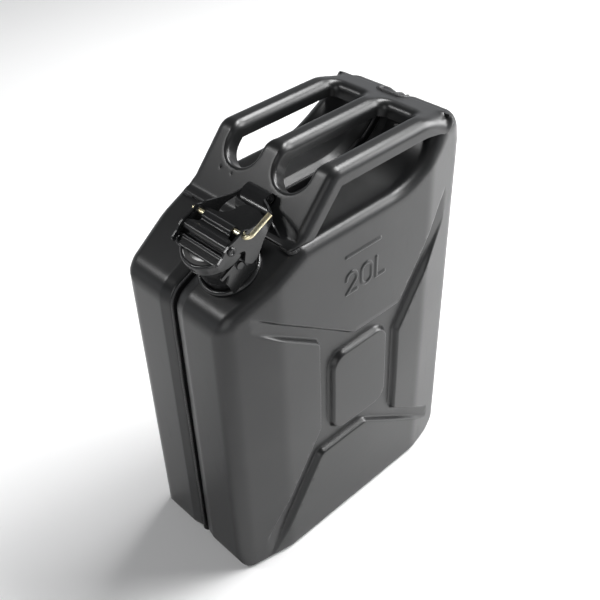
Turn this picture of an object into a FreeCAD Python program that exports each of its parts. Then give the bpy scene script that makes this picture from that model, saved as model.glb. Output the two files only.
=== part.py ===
import FreeCAD, Part
import math
import os

"""Twenty litre pressed steel jerrycan: two pressed halves, a triple bar handle and a cam lever closure.

Lengths in millimetres. X runs from the spout end to the rear, Y across the can, Z up from the floor.
"""

V = FreeCAD.Vector
ORIGIN = V(0, 0, 0)
ALONG_Y = V(0, 1, 0)

# Overall size and sheet
LENGTH = 342.0
WIDTH = 177.0
HEIGHT = 470.0
SHEET = 0.9
FRONT = -LENGTH / 2
REAR = LENGTH / 2

# Side outline of the body, its levels measured down from the top of the handle
SHOULDER_DROP = 103.0
SADDLE_DROP = 56.0
REAR_TOP_DROP = 12.0
SHOULDER_START_Z = HEIGHT - SHOULDER_DROP
SADDLE_Z = HEIGHT - SADDLE_DROP
REAR_TOP_Z = HEIGHT - REAR_TOP_DROP
SHOULDER_ANGLE = 26.0
SADDLE_RISE_FROM_REAR = 79.5
SADDLE_RISE_X = REAR - SADDLE_RISE_FROM_REAR
SADDLE_RISE_ANGLE = 52.0
FRONT_BOTTOM_RADIUS = 14.0
REAR_BOTTOM_RADIUS = 38.0
FRONT_TOP_RADIUS = 28.0
SHOULDER_RADIUS = 12.0
SADDLE_RADIUS = 85.0
REAR_STEP_RADIUS = 15.0
REAR_TOP_RADIUS = 22.0
SHOULDER_SLOPE = math.tan(math.radians(SHOULDER_ANGLE))
SHOULDER_END_X = FRONT + (SADDLE_Z - SHOULDER_START_Z) / SHOULDER_SLOPE
REAR_STEP_X = SADDLE_RISE_X + (REAR_TOP_Z - SADDLE_Z) / math.tan(math.radians(SADDLE_RISE_ANGLE))

# Plan outline of the body
BAND_LENGTH = 62.5
BAND_DROP = 13.5
FLAT_SIDE_HALF = LENGTH / 2 - BAND_LENGTH
CREASE_RADIUS = 40.0
CORNER_RADIUS = 20.0
TOP_EDGE_RADIUS = 12.0
BOTTOM_EDGE_RADIUS = 6.0
EDGE_SPLIT_Z = 200.0

# Seam groove with its standing flange, which is higher over the saddle
GROOVE_HALF_WIDTH = 11.0
GROOVE_DEPTH = 8.0
FLANGE_BELOW_SURFACE = 1.5
BEAD_BELOW_SURFACE = 0.4
BEAD_THICKNESS = 2.1
BEAD_HALF_WIDTH = 1.5
SADDLE_FLANGE_RISE = 1.0
SADDLE_BEAD_RISE = 2.0
SADDLE_FLANGE_START_X = SHOULDER_END_X + 14.6
SADDLE_FLANGE_END_X = SADDLE_RISE_X + 4.5

# Pressed pinwheel on both broad sides; the fields are placed from its centre
PRESSING_CENTRE_X = 5.0
PRESSING_CENTRE_DROP = 217.0
PRESSING_CENTRE_Z = SADDLE_Z - PRESSING_CENTRE_DROP
PRESSING_DEPTH = 6.0
PRESSING_WALL = 4.0
PRESSING_CORNER = 8.0
PANEL_HALF_WIDTH = 41.0
PANEL_HALF_HEIGHT = 54.0
PANEL_CORNER = 17.0
TOP_FIELD_LEVEL = 75.5
TOP_FIELD_LEFT = -10.7
TOP_FIELD_RIGHT = 60.7
SIDE_FIELD_EDGE = -62.0
SIDE_FIELD_LOW = -33.0
SIDE_FIELD_HIGH = 90.0
UPRIGHT_SLOPE = 1.5
FLAT_SLOPE = 0.71

# Raised capacity mark on both broad sides
MARK_HEIGHT = 1.2
MARK_STROKE = 3.5
MARK_LEFT = -21.5
MARK_DROP = 85.0
MARK_BOTTOM_Z = SADDLE_Z - MARK_DROP
MARK_TALL = 28.0
MARK_DIGIT_WIDTH = 18.5
MARK_LETTER_WIDTH = 16.0
MARK_SPACE = 3.5
MARK_BAR_GAP = 17.5
MARK_BAR_LENGTH = 52.0

# Pressed handle
HANDLE_SHEET = 1.5
HANDLE_BASE_X = SHOULDER_END_X + 0.6
HANDLE_BASE_SINK = 3.0
HANDLE_BASE_Z = SADDLE_Z - HANDLE_BASE_SINK
HANDLE_LEAN = 51.0
HANDLE_BEND_RADIUS = 12.0
HANDLE_TOP_END_FROM_REAR = 66.0
HANDLE_TOP_END_X = REAR - HANDLE_TOP_END_FROM_REAR
HANDLE_REAR_INSET = 20.0
HANDLE_REAR_X = REAR - HANDLE_REAR_INSET
HANDLE_REAR_LIFT = 1.8
HANDLE_REAR_Z = REAR_TOP_Z + HANDLE_REAR_LIFT
HANDLE_REAR_BEND = 60.0
HANDLE_DEPTH = 15.5
BAR_SIDE_INSET = 8.5
BAR_OUTER_EDGE = WIDTH / 2 - BAR_SIDE_INSET
BAR_WIDTH = 22.0
BAR_ROUNDING = 8.0
SLOT_FRONT_RISE = 37.0
SLOT_REAR_X = HANDLE_TOP_END_X + 11.0
SLOT_REAR_CORNER = 10.0
FOOT_LENGTH = 8.0
FOOT_SIDE_INSET = 3.0
FOOT_HALF = BAR_OUTER_EDGE - FOOT_SIDE_INSET
SEAM_NOTCH_GAP = 2.5
SEAM_NOTCH_HALF = BEAD_HALF_WIDTH + SEAM_NOTCH_GAP
REAR_NOTCH_HALF = 17.0
REAR_NOTCH_DEPTH = 9.0

# Neck, in the spout frame: its origin lies on the shoulder, u runs up the slope and n stands off it
NECK_RADIUS = 26.5
NECK_HEIGHT = 38.6
MOUTH_WALL = 1.5
MOUTH_DEPTH = 14.0
MOUTH_RADIUS = NECK_RADIUS - MOUTH_WALL
LIP_RADIUS = 1.7
BASE_RING_WIDTH = 4.5
BASE_RING_RADIUS = NECK_RADIUS + BASE_RING_WIDTH
BASE_RING_HEIGHT = 4.0
BASE_RING_SLANT = 7.0
SEAT_MARGIN = 2.0
SEAT_RADIUS = BASE_RING_RADIUS + SEAT_MARGIN
SPOUT_FROM_FRONT = 50.0
SPOUT_SEAM_GAP = 3.0
SPOUT_X = FRONT + SPOUT_FROM_FRONT
SPOUT_Y = -BASE_RING_RADIUS - SPOUT_SEAM_GAP
SPOUT_Z = SHOULDER_START_Z + SPOUT_FROM_FRONT * SHOULDER_SLOPE

# Gaps of the moving pieces
TURNING_GAP = 0.05
SHEET_GAP = 0.4
NARROW_GAP = 0.3

# Cap, with its gasket on the lip of the neck
CAP_MARGIN = 4.2
CAP_RADIUS = NECK_RADIUS + CAP_MARGIN
CAP_SHEET = 1.1
CAP_SKIRT = 12.6
CAP_ROUNDING = 3.0
SEAL_GAP = 0.4
GASKET_THICKNESS = 4.8
GASKET_SIDE_GAP = 1.8
GASKET_BAND = 10.8
GASKET_BOTTOM = NECK_HEIGHT + LIP_RADIUS + SEAL_GAP
CAP_TOP = GASKET_BOTTOM + GASKET_THICKNESS + CAP_SHEET
CAP_BOTTOM = CAP_TOP - CAP_SKIRT
GASKET_RADIUS = CAP_RADIUS - CAP_SHEET - GASKET_SIDE_GAP
GASKET_BORE = GASKET_RADIUS - GASKET_BAND
RETAINER_SHEET = 1.0
RETAINER_CUP = GASKET_BORE - 2.0
RETAINER_FLANGE = GASKET_BORE + 4.0
RIVET_RADIUS = 2.5
RIVET_HEAD = 5.0
RIVET_HEAD_HEIGHT = 1.5

# Sheets beside the cap, from the cheeks of the strap in to the lever and the ears
CHEEK_SHEET = 2.0
LEVER_FLANGE_SHEET = 1.8
EAR_LAP = 0.3
CHEEK_INNER = CAP_RADIUS + NARROW_GAP
CHEEK_OUTER = CHEEK_INNER + CHEEK_SHEET
LEVER_FLANGE_OUTER = CHEEK_INNER - SHEET_GAP
LEVER_FLANGE_INNER = LEVER_FLANGE_OUTER - LEVER_FLANGE_SHEET
EAR_OUTER = LEVER_FLANGE_INNER - SHEET_GAP
EAR_INNER = NECK_RADIUS - EAR_LAP

# Strap, lever and their pins
STRAP_SHEET = 1.6
STRAP_REACH = 16.3
STRAP_REAR_U = CAP_RADIUS + STRAP_REACH
STRAP_TOP = CAP_TOP + STRAP_SHEET
RIDGE_RADIUS = 1.3
RIDGE_U = -8.5
LEVER_SHEET = 1.6
ROLL_WALL = 1.5
LEVER_TAIL_HALF = 20.0
PIVOT_U = 0.0
PIVOT_RISE = 4.4
PIVOT_N = CAP_TOP + PIVOT_RISE
PIVOT_RADIUS = 2.5
PIVOT_HEAD = 4.5
PIVOT_HEAD_HEIGHT = 1.6
PIN_U = 17.5
PIN_RADIUS = 2.5
PIN_FAR_REACH = 4.0
PIN_LEG_GAP = 2.5
PIN_BEND = 5.0
STUD_DROP = 20.6
STUD_N = CAP_TOP - STUD_DROP
STUD_RADIUS = 4.0

# Cap hinge on the front plate of the handle
HINGE_ALONG_PLATE = 28.5
HINGE_PIN_RADIUS = 2.5
HINGE_BARREL_WALL = 2.8
HINGE_BARREL_RADIUS = HINGE_PIN_RADIUS + HINGE_BARREL_WALL
HINGE_PLATE_GAP = 3.7
HINGE_STANDOFF = HINGE_BARREL_RADIUS + HINGE_PLATE_GAP
HINGE_NEAR = 2.0
HINGE_FAR = -SPOUT_Y
HINGE_KNUCKLE = 8.0
HINGE_PIN_PROUD = 1.5
BRACKET_SHEET = 2.0
BRACKET_ABOVE = 11.5
BRACKET_BELOW = 8.5

# Vent tube
VENT_RADIUS = 3.5
VENT_WALL = 0.8
VENT_WALL_GAP = 3.0
VENT_U = NECK_RADIUS - VENT_RADIUS - VENT_WALL_GAP
VENT_BELOW_MOUTH = 0.6
VENT_TOP = NECK_HEIGHT - MOUTH_DEPTH - VENT_BELOW_MOUTH
VENT_ENTRY_DEPTH = 18.0
VENT_BENDS = [0, 20, 40, 0]
CLIP_HALF_WIDTH = 4.0
CLIP_LOW = 12.0
CLIP_HIGH = 18.0


def unit(a, b):
    """Return the unit vector of a plane direction."""
    length = math.hypot(a, b)
    return (a / length, b / length)


def rounded_wire(corners, place):
    """Join corners (a, b, radius) into a closed wire; place turns (a, b) into a point in space."""
    stops = []
    for index, (a, b, radius) in enumerate(corners):
        before = corners[index - 1]
        after = corners[(index + 1) % len(corners)]
        back = unit(before[0] - a, before[1] - b)
        ahead = unit(after[0] - a, after[1] - b)
        if radius <= 0:
            stops.append([(a, b)])
            continue
        half = math.acos(max(-1, min(1, back[0] * ahead[0] + back[1] * ahead[1]))) / 2
        reach = radius / math.tan(half)
        middle = unit(back[0] + ahead[0], back[1] + ahead[1])
        near = radius / math.sin(half) - radius
        stops.append([
            (a + back[0] * reach, b + back[1] * reach),
            (a + middle[0] * near, b + middle[1] * near),
            (a + ahead[0] * reach, b + ahead[1] * reach),
        ])
    edges = []
    for index, stop in enumerate(stops):
        points = [place(*point) for point in stop]
        if len(points) == 3:
            edges.append(Part.Arc(*points).toShape())
        start = points[-1]
        end = place(*stops[(index + 1) % len(stops)][0])
        if start.distanceToPoint(end) > 1e-6:
            edges.append(Part.makeLine(start, end))
    return Part.Wire(edges)


def inset_corners(corners, depth):
    """Move every side of a counterclockwise outline inwards by depth; arcs keep their centres."""
    moved = []
    for index, (a, b, radius) in enumerate(corners):
        before = corners[index - 1]
        after = corners[(index + 1) % len(corners)]
        first = unit(a - before[0], b - before[1])
        second = unit(after[0] - a, after[1] - b)
        turn = first[0] * second[1] - first[1] * second[0]
        along = first[0] * second[0] + first[1] * second[1]
        shift = depth / (1 + along)
        new_radius = radius - depth if turn > 0 else radius + depth
        moved.append((
            a + shift * (-first[1] - second[1]),
            b + shift * (first[0] + second[0]),
            max(new_radius, 0) if radius > 0 else 0,
        ))
    return moved


def prism_xz(corners, y_start, y_end):
    """Extrude an outline given in X and Z between two Y planes."""
    wire = rounded_wire(corners, lambda a, b: V(a, y_start, b))
    return Part.Face(wire).extrude(V(0, y_end - y_start, 0))


def prism_xy(corners, z_start, z_end):
    """Extrude an outline given in X and Y between two Z planes."""
    wire = rounded_wire(corners, lambda a, b: V(a, b, z_start))
    return Part.Face(wire).extrude(V(0, 0, z_end - z_start))


def plain(points):
    """Give a list of points sharp corners."""
    return [(a, b, 0) for a, b in points]


def box(x_range, y_range, z_range):
    """Make a box from its three ranges."""
    size = [high - low for low, high in (x_range, y_range, z_range)]
    return Part.makeBox(*size, V(x_range[0], y_range[0], z_range[0]))


def rod(a, b, radius, y_start, y_end):
    """Make a cylinder along Y centred on a point in X and Z."""
    return Part.makeCylinder(radius, y_end - y_start, V(a, y_start, b), ALONG_Y)


def merge(shapes):
    """Fuse shapes into one clean solid."""
    whole = shapes[0]
    for shape in shapes[1:]:
        whole = whole.fuse(shape)
    return whole.removeSplitter()


def cut_all(shape, tools):
    """Take every tool out of a shape."""
    for tool in tools:
        shape = shape.cut(tool)
    return shape


def turned(outline):
    """Revolve an outline of (radius, height) points about the Z axis."""
    wire = rounded_wire(outline, lambda a, b: V(a, 0, b))
    return Part.Face(wire).revolve(ORIGIN, V(0, 0, 1), 360)


# Body outlines
SIDE_OUTLINE = [
    (FRONT, 0, FRONT_BOTTOM_RADIUS),
    (REAR, 0, REAR_BOTTOM_RADIUS),
    (REAR, REAR_TOP_Z, REAR_TOP_RADIUS),
    (REAR_STEP_X, REAR_TOP_Z, REAR_STEP_RADIUS),
    (SADDLE_RISE_X, SADDLE_Z, SADDLE_RADIUS),
    (SHOULDER_END_X, SADDLE_Z, SHOULDER_RADIUS),
    (FRONT, SHOULDER_START_Z, FRONT_TOP_RADIUS),
]


def plan_outline(corner_radius):
    """Outline of the can seen from above, with its four slanting bands."""
    half = WIDTH / 2
    end = half - BAND_DROP
    return [
        (FRONT, -end, corner_radius),
        (-FLAT_SIDE_HALF, -half, CREASE_RADIUS),
        (FLAT_SIDE_HALF, -half, CREASE_RADIUS),
        (REAR, -end, corner_radius),
        (REAR, end, corner_radius),
        (FLAT_SIDE_HALF, half, CREASE_RADIUS),
        (-FLAT_SIDE_HALF, half, CREASE_RADIUS),
        (FRONT, end, corner_radius),
    ]


def is_rim(edge, inset):
    """Tell the edges round both broad sides from the seams between smooth faces."""
    size = edge.BoundBox
    if size.YLength > 2 * BAND_DROP:
        return False
    if size.XLength < 0.01 and size.YLength < 0.01:
        return abs(size.XMin) > REAR - inset - 0.5
    return True


def body_solid(inset):
    """Smooth body before grooves and pressings, made smaller by inset on every side."""
    margin = 5.0
    side = prism_xz(inset_corners(SIDE_OUTLINE, inset), -WIDTH / 2 - margin, WIDTH / 2 + margin)
    sharp_plan = prism_xy(inset_corners(plan_outline(0), inset), -margin, HEIGHT)
    round_plan = prism_xy(inset_corners(plan_outline(CORNER_RADIUS), inset), -margin, HEIGHT)
    block = side.common(sharp_plan)
    rims = [edge for edge in block.Edges if is_rim(edge, inset)]
    upper = block.makeFillet(TOP_EDGE_RADIUS - inset, rims)
    lower = block.makeFillet(BOTTOM_EDGE_RADIUS - inset, rims)
    wide = (-LENGTH, LENGTH)
    top_half = upper.common(box(wide, wide, (EDGE_SPLIT_Z, HEIGHT)))
    bottom_half = lower.common(box(wide, wide, (-margin, EDGE_SPLIT_Z)))
    return top_half.common(round_plan).fuse(bottom_half.common(round_plan)).removeSplitter()


def ring_xz(outer_inset, inner_inset, half_width):
    """Closed band that follows the side outline between two depths."""
    outer = prism_xz(inset_corners(SIDE_OUTLINE, outer_inset), -half_width, half_width)
    inner = prism_xz(inset_corners(SIDE_OUTLINE, inner_inset), -half_width - 1, half_width + 1)
    return outer.cut(inner)


def spout_place(shape):
    """Move a shape from the spout frame onto the shoulder."""
    moved = shape.copy()
    turn = FreeCAD.Rotation(ALONG_Y, -SHOULDER_ANGLE)
    moved.Placement = FreeCAD.Placement(V(SPOUT_X, SPOUT_Y, SPOUT_Z), turn).multiply(shape.Placement)
    return moved


def field_outlines():
    """Outlines of the four raised fields around the panel, relative to the pressing centre."""
    far = LENGTH
    top = [
        (TOP_FIELD_LEFT, TOP_FIELD_LEVEL, PRESSING_CORNER),
        (TOP_FIELD_RIGHT, TOP_FIELD_LEVEL, PRESSING_CORNER),
        (TOP_FIELD_RIGHT + far, TOP_FIELD_LEVEL + UPRIGHT_SLOPE * far, 0),
        (TOP_FIELD_LEFT - far, TOP_FIELD_LEVEL + FLAT_SLOPE * far, 0),
    ]
    left = [
        (SIDE_FIELD_EDGE, SIDE_FIELD_LOW, PRESSING_CORNER),
        (SIDE_FIELD_EDGE, SIDE_FIELD_HIGH, PRESSING_CORNER),
        (SIDE_FIELD_EDGE - far, SIDE_FIELD_HIGH + FLAT_SLOPE * far, 0),
        (SIDE_FIELD_EDGE - far, SIDE_FIELD_LOW - UPRIGHT_SLOPE * far, 0),
    ]
    opposite = [[(-a, -b, radius) for a, b, radius in field] for field in (top, left)]
    return [top, left] + opposite


def panel_outline():
    """Outline of the central raised panel, relative to the pressing centre."""
    return [
        (-PANEL_HALF_WIDTH, -PANEL_HALF_HEIGHT, PANEL_CORNER),
        (PANEL_HALF_WIDTH, -PANEL_HALF_HEIGHT, PANEL_CORNER),
        (PANEL_HALF_WIDTH, PANEL_HALF_HEIGHT, PANEL_CORNER),
        (-PANEL_HALF_WIDTH, PANEL_HALF_HEIGHT, PANEL_CORNER),
    ]


def pressing_tool(inset):
    """Solid that sinks the channels between the raised fields into the broad side at negative Y."""
    outside = 2.0
    slope = PRESSING_WALL / PRESSING_DEPTH
    surface = -WIDTH / 2 + inset
    levels = (-outside, PRESSING_DEPTH + outside)
    slab = box((-150, 150), (surface - 1, surface + PRESSING_DEPTH), (-20, SADDLE_Z + 10))
    tool = slab
    for outline in field_outlines() + [panel_outline()]:
        wires = []
        for level in levels:
            grown = inset_corners(outline, inset - level * slope)
            y = surface + level

            def place(a, b, y=y):
                return V(PRESSING_CENTRE_X + a, y, PRESSING_CENTRE_Z + b)

            wires.append(rounded_wire(grown, place))
        tool = tool.cut(Part.makeLoft(wires, True, True))
    return tool


def seat_column(inset):
    """Round column under the spout that keeps the groove clear of it."""
    column = Part.makeCylinder(SEAT_RADIUS - inset, 80, V(0, 0, -40))
    return spout_place(column).common(box((FRONT, 0), (-WIDTH, -BEAD_HALF_WIDTH - inset), (0, HEIGHT)))


def sunk_body(inset):
    """Body with the seam groove and both pressed sides."""
    body = body_solid(inset)
    groove = ring_xz(-10, GROOVE_DEPTH + inset, GROOVE_HALF_WIDTH + inset).cut(seat_column(inset))
    tool = pressing_tool(inset)
    return cut_all(body, [groove, tool, tool.mirror(ORIGIN, ALONG_Y)])


def flange_ring(outer_inset, saddle_rise, inner_inset, half_width):
    """Standing seam strip, a little higher over the saddle."""
    low = ring_xz(outer_inset, inner_inset, half_width)
    high = ring_xz(-saddle_rise, inner_inset, half_width)
    saddle = box((SADDLE_FLANGE_START_X, SADDLE_FLANGE_END_X), (-20, 20), (SADDLE_Z - 20, HEIGHT))
    return low.fuse(high.common(saddle)).removeSplitter()


def mark_stroke(outline, y_range):
    """One flat stroke of the capacity mark."""
    return prism_xz(outline, *y_range)


def mark_upright(left, low, right, high):
    """Corners of a plain rectangle of the mark."""
    return plain([(left, low), (right, low), (right, high), (left, high)])


def mark_zero(left, low, y_range):
    """Digit nought, a band with round ends."""
    almost_half = MARK_DIGIT_WIDTH / 2 - 0.1
    outline = [(a, b, almost_half) for a, b, _ in
               mark_upright(left, low, left + MARK_DIGIT_WIDTH, low + MARK_TALL)]
    through = (y_range[0] - 1, y_range[1] + 1)
    return mark_stroke(outline, y_range).cut(mark_stroke(inset_corners(outline, MARK_STROKE), through))


def mark_two(left, low, y_range):
    """Digit two: a bow, a slanting stroke and a foot."""
    radius = MARK_DIGIT_WIDTH / 2
    centre_x = left + radius
    centre_z = low + MARK_TALL - radius
    through = (y_range[0] - 1, y_range[1] + 1)
    bow = rod(centre_x, centre_z, radius, *y_range)
    bow = bow.cut(rod(centre_x, centre_z, radius - MARK_STROKE, *through))
    end = math.radians(-35)
    outside = 2 * radius
    below = plain([
        (centre_x, centre_z),
        (centre_x + outside * math.cos(end), centre_z + outside * math.sin(end)),
        (centre_x, centre_z - 2 * outside),
        (centre_x - outside, centre_z - outside),
        (centre_x - outside, centre_z),
    ])
    bow = bow.cut(mark_stroke(below, through))
    inner = radius - MARK_STROKE
    foot_top = low + MARK_STROKE
    slant = mark_stroke(plain([
        (left, foot_top),
        (left + 1.3 * MARK_STROKE, foot_top),
        (centre_x + radius * math.cos(end), centre_z + radius * math.sin(end)),
        (centre_x + inner * math.cos(end), centre_z + inner * math.sin(end)),
    ]), y_range)
    foot = mark_stroke(mark_upright(left, low, left + MARK_DIGIT_WIDTH, foot_top), y_range)
    return merge([bow, slant, foot])


def mark_letter(left, low, y_range):
    """Letter of the litres: an upright stroke and a foot."""
    high = low + MARK_TALL
    upright = mark_stroke(mark_upright(left, low, left + MARK_STROKE, high), y_range)
    foot = mark_stroke(mark_upright(left, low, left + MARK_LETTER_WIDTH, low + MARK_STROKE), y_range)
    return merge([upright, foot])


def mark_solids():
    """Raised capacity mark and the bar above it, on the side at negative Y."""
    surface = -WIDTH / 2
    y_range = (surface - MARK_HEIGHT, surface + SHEET / 2)
    step = MARK_DIGIT_WIDTH + MARK_SPACE
    bar_low = MARK_BOTTOM_Z + MARK_TALL + MARK_BAR_GAP
    bar = mark_upright(MARK_LEFT, bar_low, MARK_LEFT + MARK_BAR_LENGTH, bar_low + MARK_STROKE)
    return [
        mark_stroke(bar, y_range),
        mark_two(MARK_LEFT, MARK_BOTTOM_Z, y_range),
        mark_zero(MARK_LEFT + step, MARK_BOTTOM_Z, y_range),
        mark_letter(MARK_LEFT + 2 * step, MARK_BOTTOM_Z, y_range),
    ]


def shell_halves():
    """Two pressed halves that meet at the seam, each with its own flange."""
    outer = sunk_body(0)
    marks = mark_solids()
    far_marks = [mark.copy() for mark in marks]
    for mark in far_marks:
        mark.rotate(ORIGIN, V(0, 0, 1), 180)
    outer = merge([outer] + marks + far_marks)
    cavity = sunk_body(SHEET)
    bore = spout_place(Part.makeCylinder(NECK_RADIUS, 60, V(0, 0, -30)))
    bore = bore.common(box((FRONT, 0), (-WIDTH, 0), (SHOULDER_START_Z - 20, HEIGHT)))
    shell = outer.cut(cavity).cut(bore)
    flange = flange_ring(FLANGE_BELOW_SURFACE, SADDLE_FLANGE_RISE, GROOVE_DEPTH + SHEET / 2, SHEET)
    halves = []
    for y_range in ((-WIDTH, 0), (0, WIDTH)):
        side = box((-LENGTH, LENGTH), y_range, (-10, HEIGHT))
        half = merge([shell.common(side), flange.common(side)])
        halves.append(half)
    return halves, outer


def seam_bead(flanges):
    """Weld bead along the top of the seam flanges."""
    inner = BEAD_BELOW_SURFACE + BEAD_THICKNESS
    bead = flange_ring(BEAD_BELOW_SURFACE, SADDLE_BEAD_RISE, inner, BEAD_HALF_WIDTH)
    return cut_all(bead, flanges)


# Handle
LEAN = math.radians(HANDLE_LEAN)
HANDLE_TOP_START_X = HANDLE_BASE_X + (HEIGHT - HANDLE_BASE_Z) / math.tan(LEAN)


def plate_point(along, off):
    """Place on the front plate of the handle: distance up the plate and off its outer face."""
    x = HANDLE_BASE_X + along * math.cos(LEAN) - off * math.sin(LEAN)
    z = HANDLE_BASE_Z + along * math.sin(LEAN) + off * math.cos(LEAN)
    return (x, z)


def handle_profile(inset, depth):
    """Side outline of the handle between its top face and the depth of its edges."""
    start = plate_point(-20, -inset)
    start_low = plate_point(-20, -depth)
    slope = (HEIGHT - HANDLE_REAR_Z) / (HANDLE_REAR_X - HANDLE_TOP_END_X)
    shift = math.tan(LEAN / 2)
    rear_turn = math.tan(math.atan(slope) / 2)
    return [
        (start_low[0], start_low[1], 0),
        (HANDLE_TOP_START_X + depth * shift, HEIGHT - depth, 0),
        (HANDLE_TOP_END_X - depth * rear_turn, HEIGHT - depth, 0),
        (HANDLE_REAR_X, HANDLE_REAR_Z - depth, 0),
        (HANDLE_REAR_X, HANDLE_REAR_Z - inset, 0),
        (HANDLE_TOP_END_X - inset * rear_turn, HEIGHT - inset, HANDLE_REAR_BEND),
        (HANDLE_TOP_START_X + inset * shift, HEIGHT - inset, HANDLE_BEND_RADIUS - inset),
        (start[0], start[1], 0),
    ]


def slot_cutter(side, inset):
    """Cutter for one hand slot: an upright rear part and a round end square to the front plate."""
    inner = BAR_WIDTH / 2 - inset
    outer = BAR_OUTER_EDGE - BAR_WIDTH + inset
    half = (outer - inner) / 2
    centre = side * (outer + inner) / 2
    start_x = HANDLE_TOP_START_X + 2
    rear = SLOT_REAR_X + inset
    corner = SLOT_REAR_CORNER + inset
    upright = prism_xy([
        (start_x, centre - half, 0),
        (rear, centre - half, corner),
        (rear, centre + half, corner),
        (start_x, centre + half, 0),
    ], HEIGHT - 2 * HANDLE_DEPTH, HEIGHT + 10)
    radius = half
    end_along = SLOT_FRONT_RISE + radius - inset
    slanted = Part.makeCylinder(radius, 60, V(0, 0, -45))
    run = box((0, 60), (-radius, radius), (-45, 15))
    slanted = slanted.fuse(run)
    x, z = plate_point(end_along, 0)
    turn = FreeCAD.Rotation(ALONG_Y, -HANDLE_LEAN)
    slanted.Placement = FreeCAD.Placement(V(x, centre, z), turn)
    above = HANDLE_TOP_START_X + 30
    slanted = slanted.common(box((-200, above), (-WIDTH, WIDTH), (0, HEIGHT + 10)))
    return upright.fuse(slanted).removeSplitter()


def handle_solid(inset, depth, rounding):
    """Handle as a filled block with rounded bars, made smaller by inset on the outside."""
    half = BAR_OUTER_EDGE - inset
    block = prism_xz(handle_profile(inset, depth), -half, half)
    for side in (-1, 1):
        block = block.cut(slot_cutter(side, inset))
    top = HEIGHT - inset
    long_run = (HANDLE_TOP_END_X - HANDLE_TOP_START_X) / 2
    picked = []
    for edge in block.Edges:
        size = edge.BoundBox
        if size.XLength > long_run and size.ZMin > top - 0.01:
            picked.append(edge)
    return block.makeFillet(rounding, picked)


def handle_foot():
    """Narrow flange that lies on the shoulder in front of the handle."""
    slope = math.radians(SHOULDER_ANGLE)
    lap = 4.0
    sink = 2.0
    start_x = HANDLE_BASE_X + 2
    end_x = start_x - lap - FOOT_LENGTH * math.cos(slope)
    rise_x = -HANDLE_SHEET * math.sin(slope)
    rise_z = HANDLE_SHEET * math.cos(slope)

    def shoulder_z(x):
        return SADDLE_Z + (x - SHOULDER_END_X) * SHOULDER_SLOPE

    return prism_xz(plain([
        (start_x, shoulder_z(start_x) - sink),
        (start_x + rise_x, shoulder_z(start_x) + rise_z),
        (end_x + rise_x, shoulder_z(end_x) + rise_z),
        (end_x, shoulder_z(end_x) - sink),
    ]), -FOOT_HALF, FOOT_HALF)


def handle_frame(body, strip):
    """Pressed handle with three hollow bars, trimmed to the top of the can."""
    outer = handle_solid(0, HANDLE_DEPTH, BAR_ROUNDING)
    hollow_depth = HANDLE_DEPTH + 5
    inner = handle_solid(HANDLE_SHEET, hollow_depth, BAR_ROUNDING - HANDLE_SHEET)
    frame = outer.cut(inner).fuse(handle_foot())
    notch = box(
        (HANDLE_BASE_X - 20, HANDLE_BASE_X + 20),
        (-SEAM_NOTCH_HALF, SEAM_NOTCH_HALF),
        (SADDLE_Z - 30, SADDLE_Z + SADDLE_BEAD_RISE + HANDLE_SHEET),
    )
    rear_notch = box(
        (HANDLE_REAR_X - REAR_NOTCH_DEPTH, HANDLE_REAR_X + 5),
        (-REAR_NOTCH_HALF, REAR_NOTCH_HALF),
        (REAR_TOP_Z - 20, HEIGHT),
    )
    return cut_all(frame, [body, strip, notch, rear_notch]).removeSplitter()


def rear_weld(body, frame):
    """Weld bead that fills the notch in the rear edge of the handle."""
    bead = box(
        (HANDLE_REAR_X - REAR_NOTCH_DEPTH, HANDLE_REAR_X),
        (-REAR_NOTCH_HALF, REAR_NOTCH_HALF),
        (REAR_TOP_Z - 14, HANDLE_REAR_Z + 1),
    )
    return cut_all(bead, [body, frame])


def ear_outline():
    """Side outline of an ear plate, with the hook at its front."""
    front = -22.0
    rear = STUD_RADIUS + 10
    top = STUD_N + STUD_RADIUS + 1.5
    hook_low = top - STUD_RADIUS
    return [
        (front + 2, BASE_RING_HEIGHT, 2),
        (rear, BASE_RING_HEIGHT, 2),
        (rear, STUD_N - 2, 6),
        (STUD_RADIUS + 2, top, 3),
        (front, top, 2),
        (front, hook_low, 1),
        (front + 10, hook_low, 1),
        (front + 2, STUD_N - 6, 3),
    ]


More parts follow.
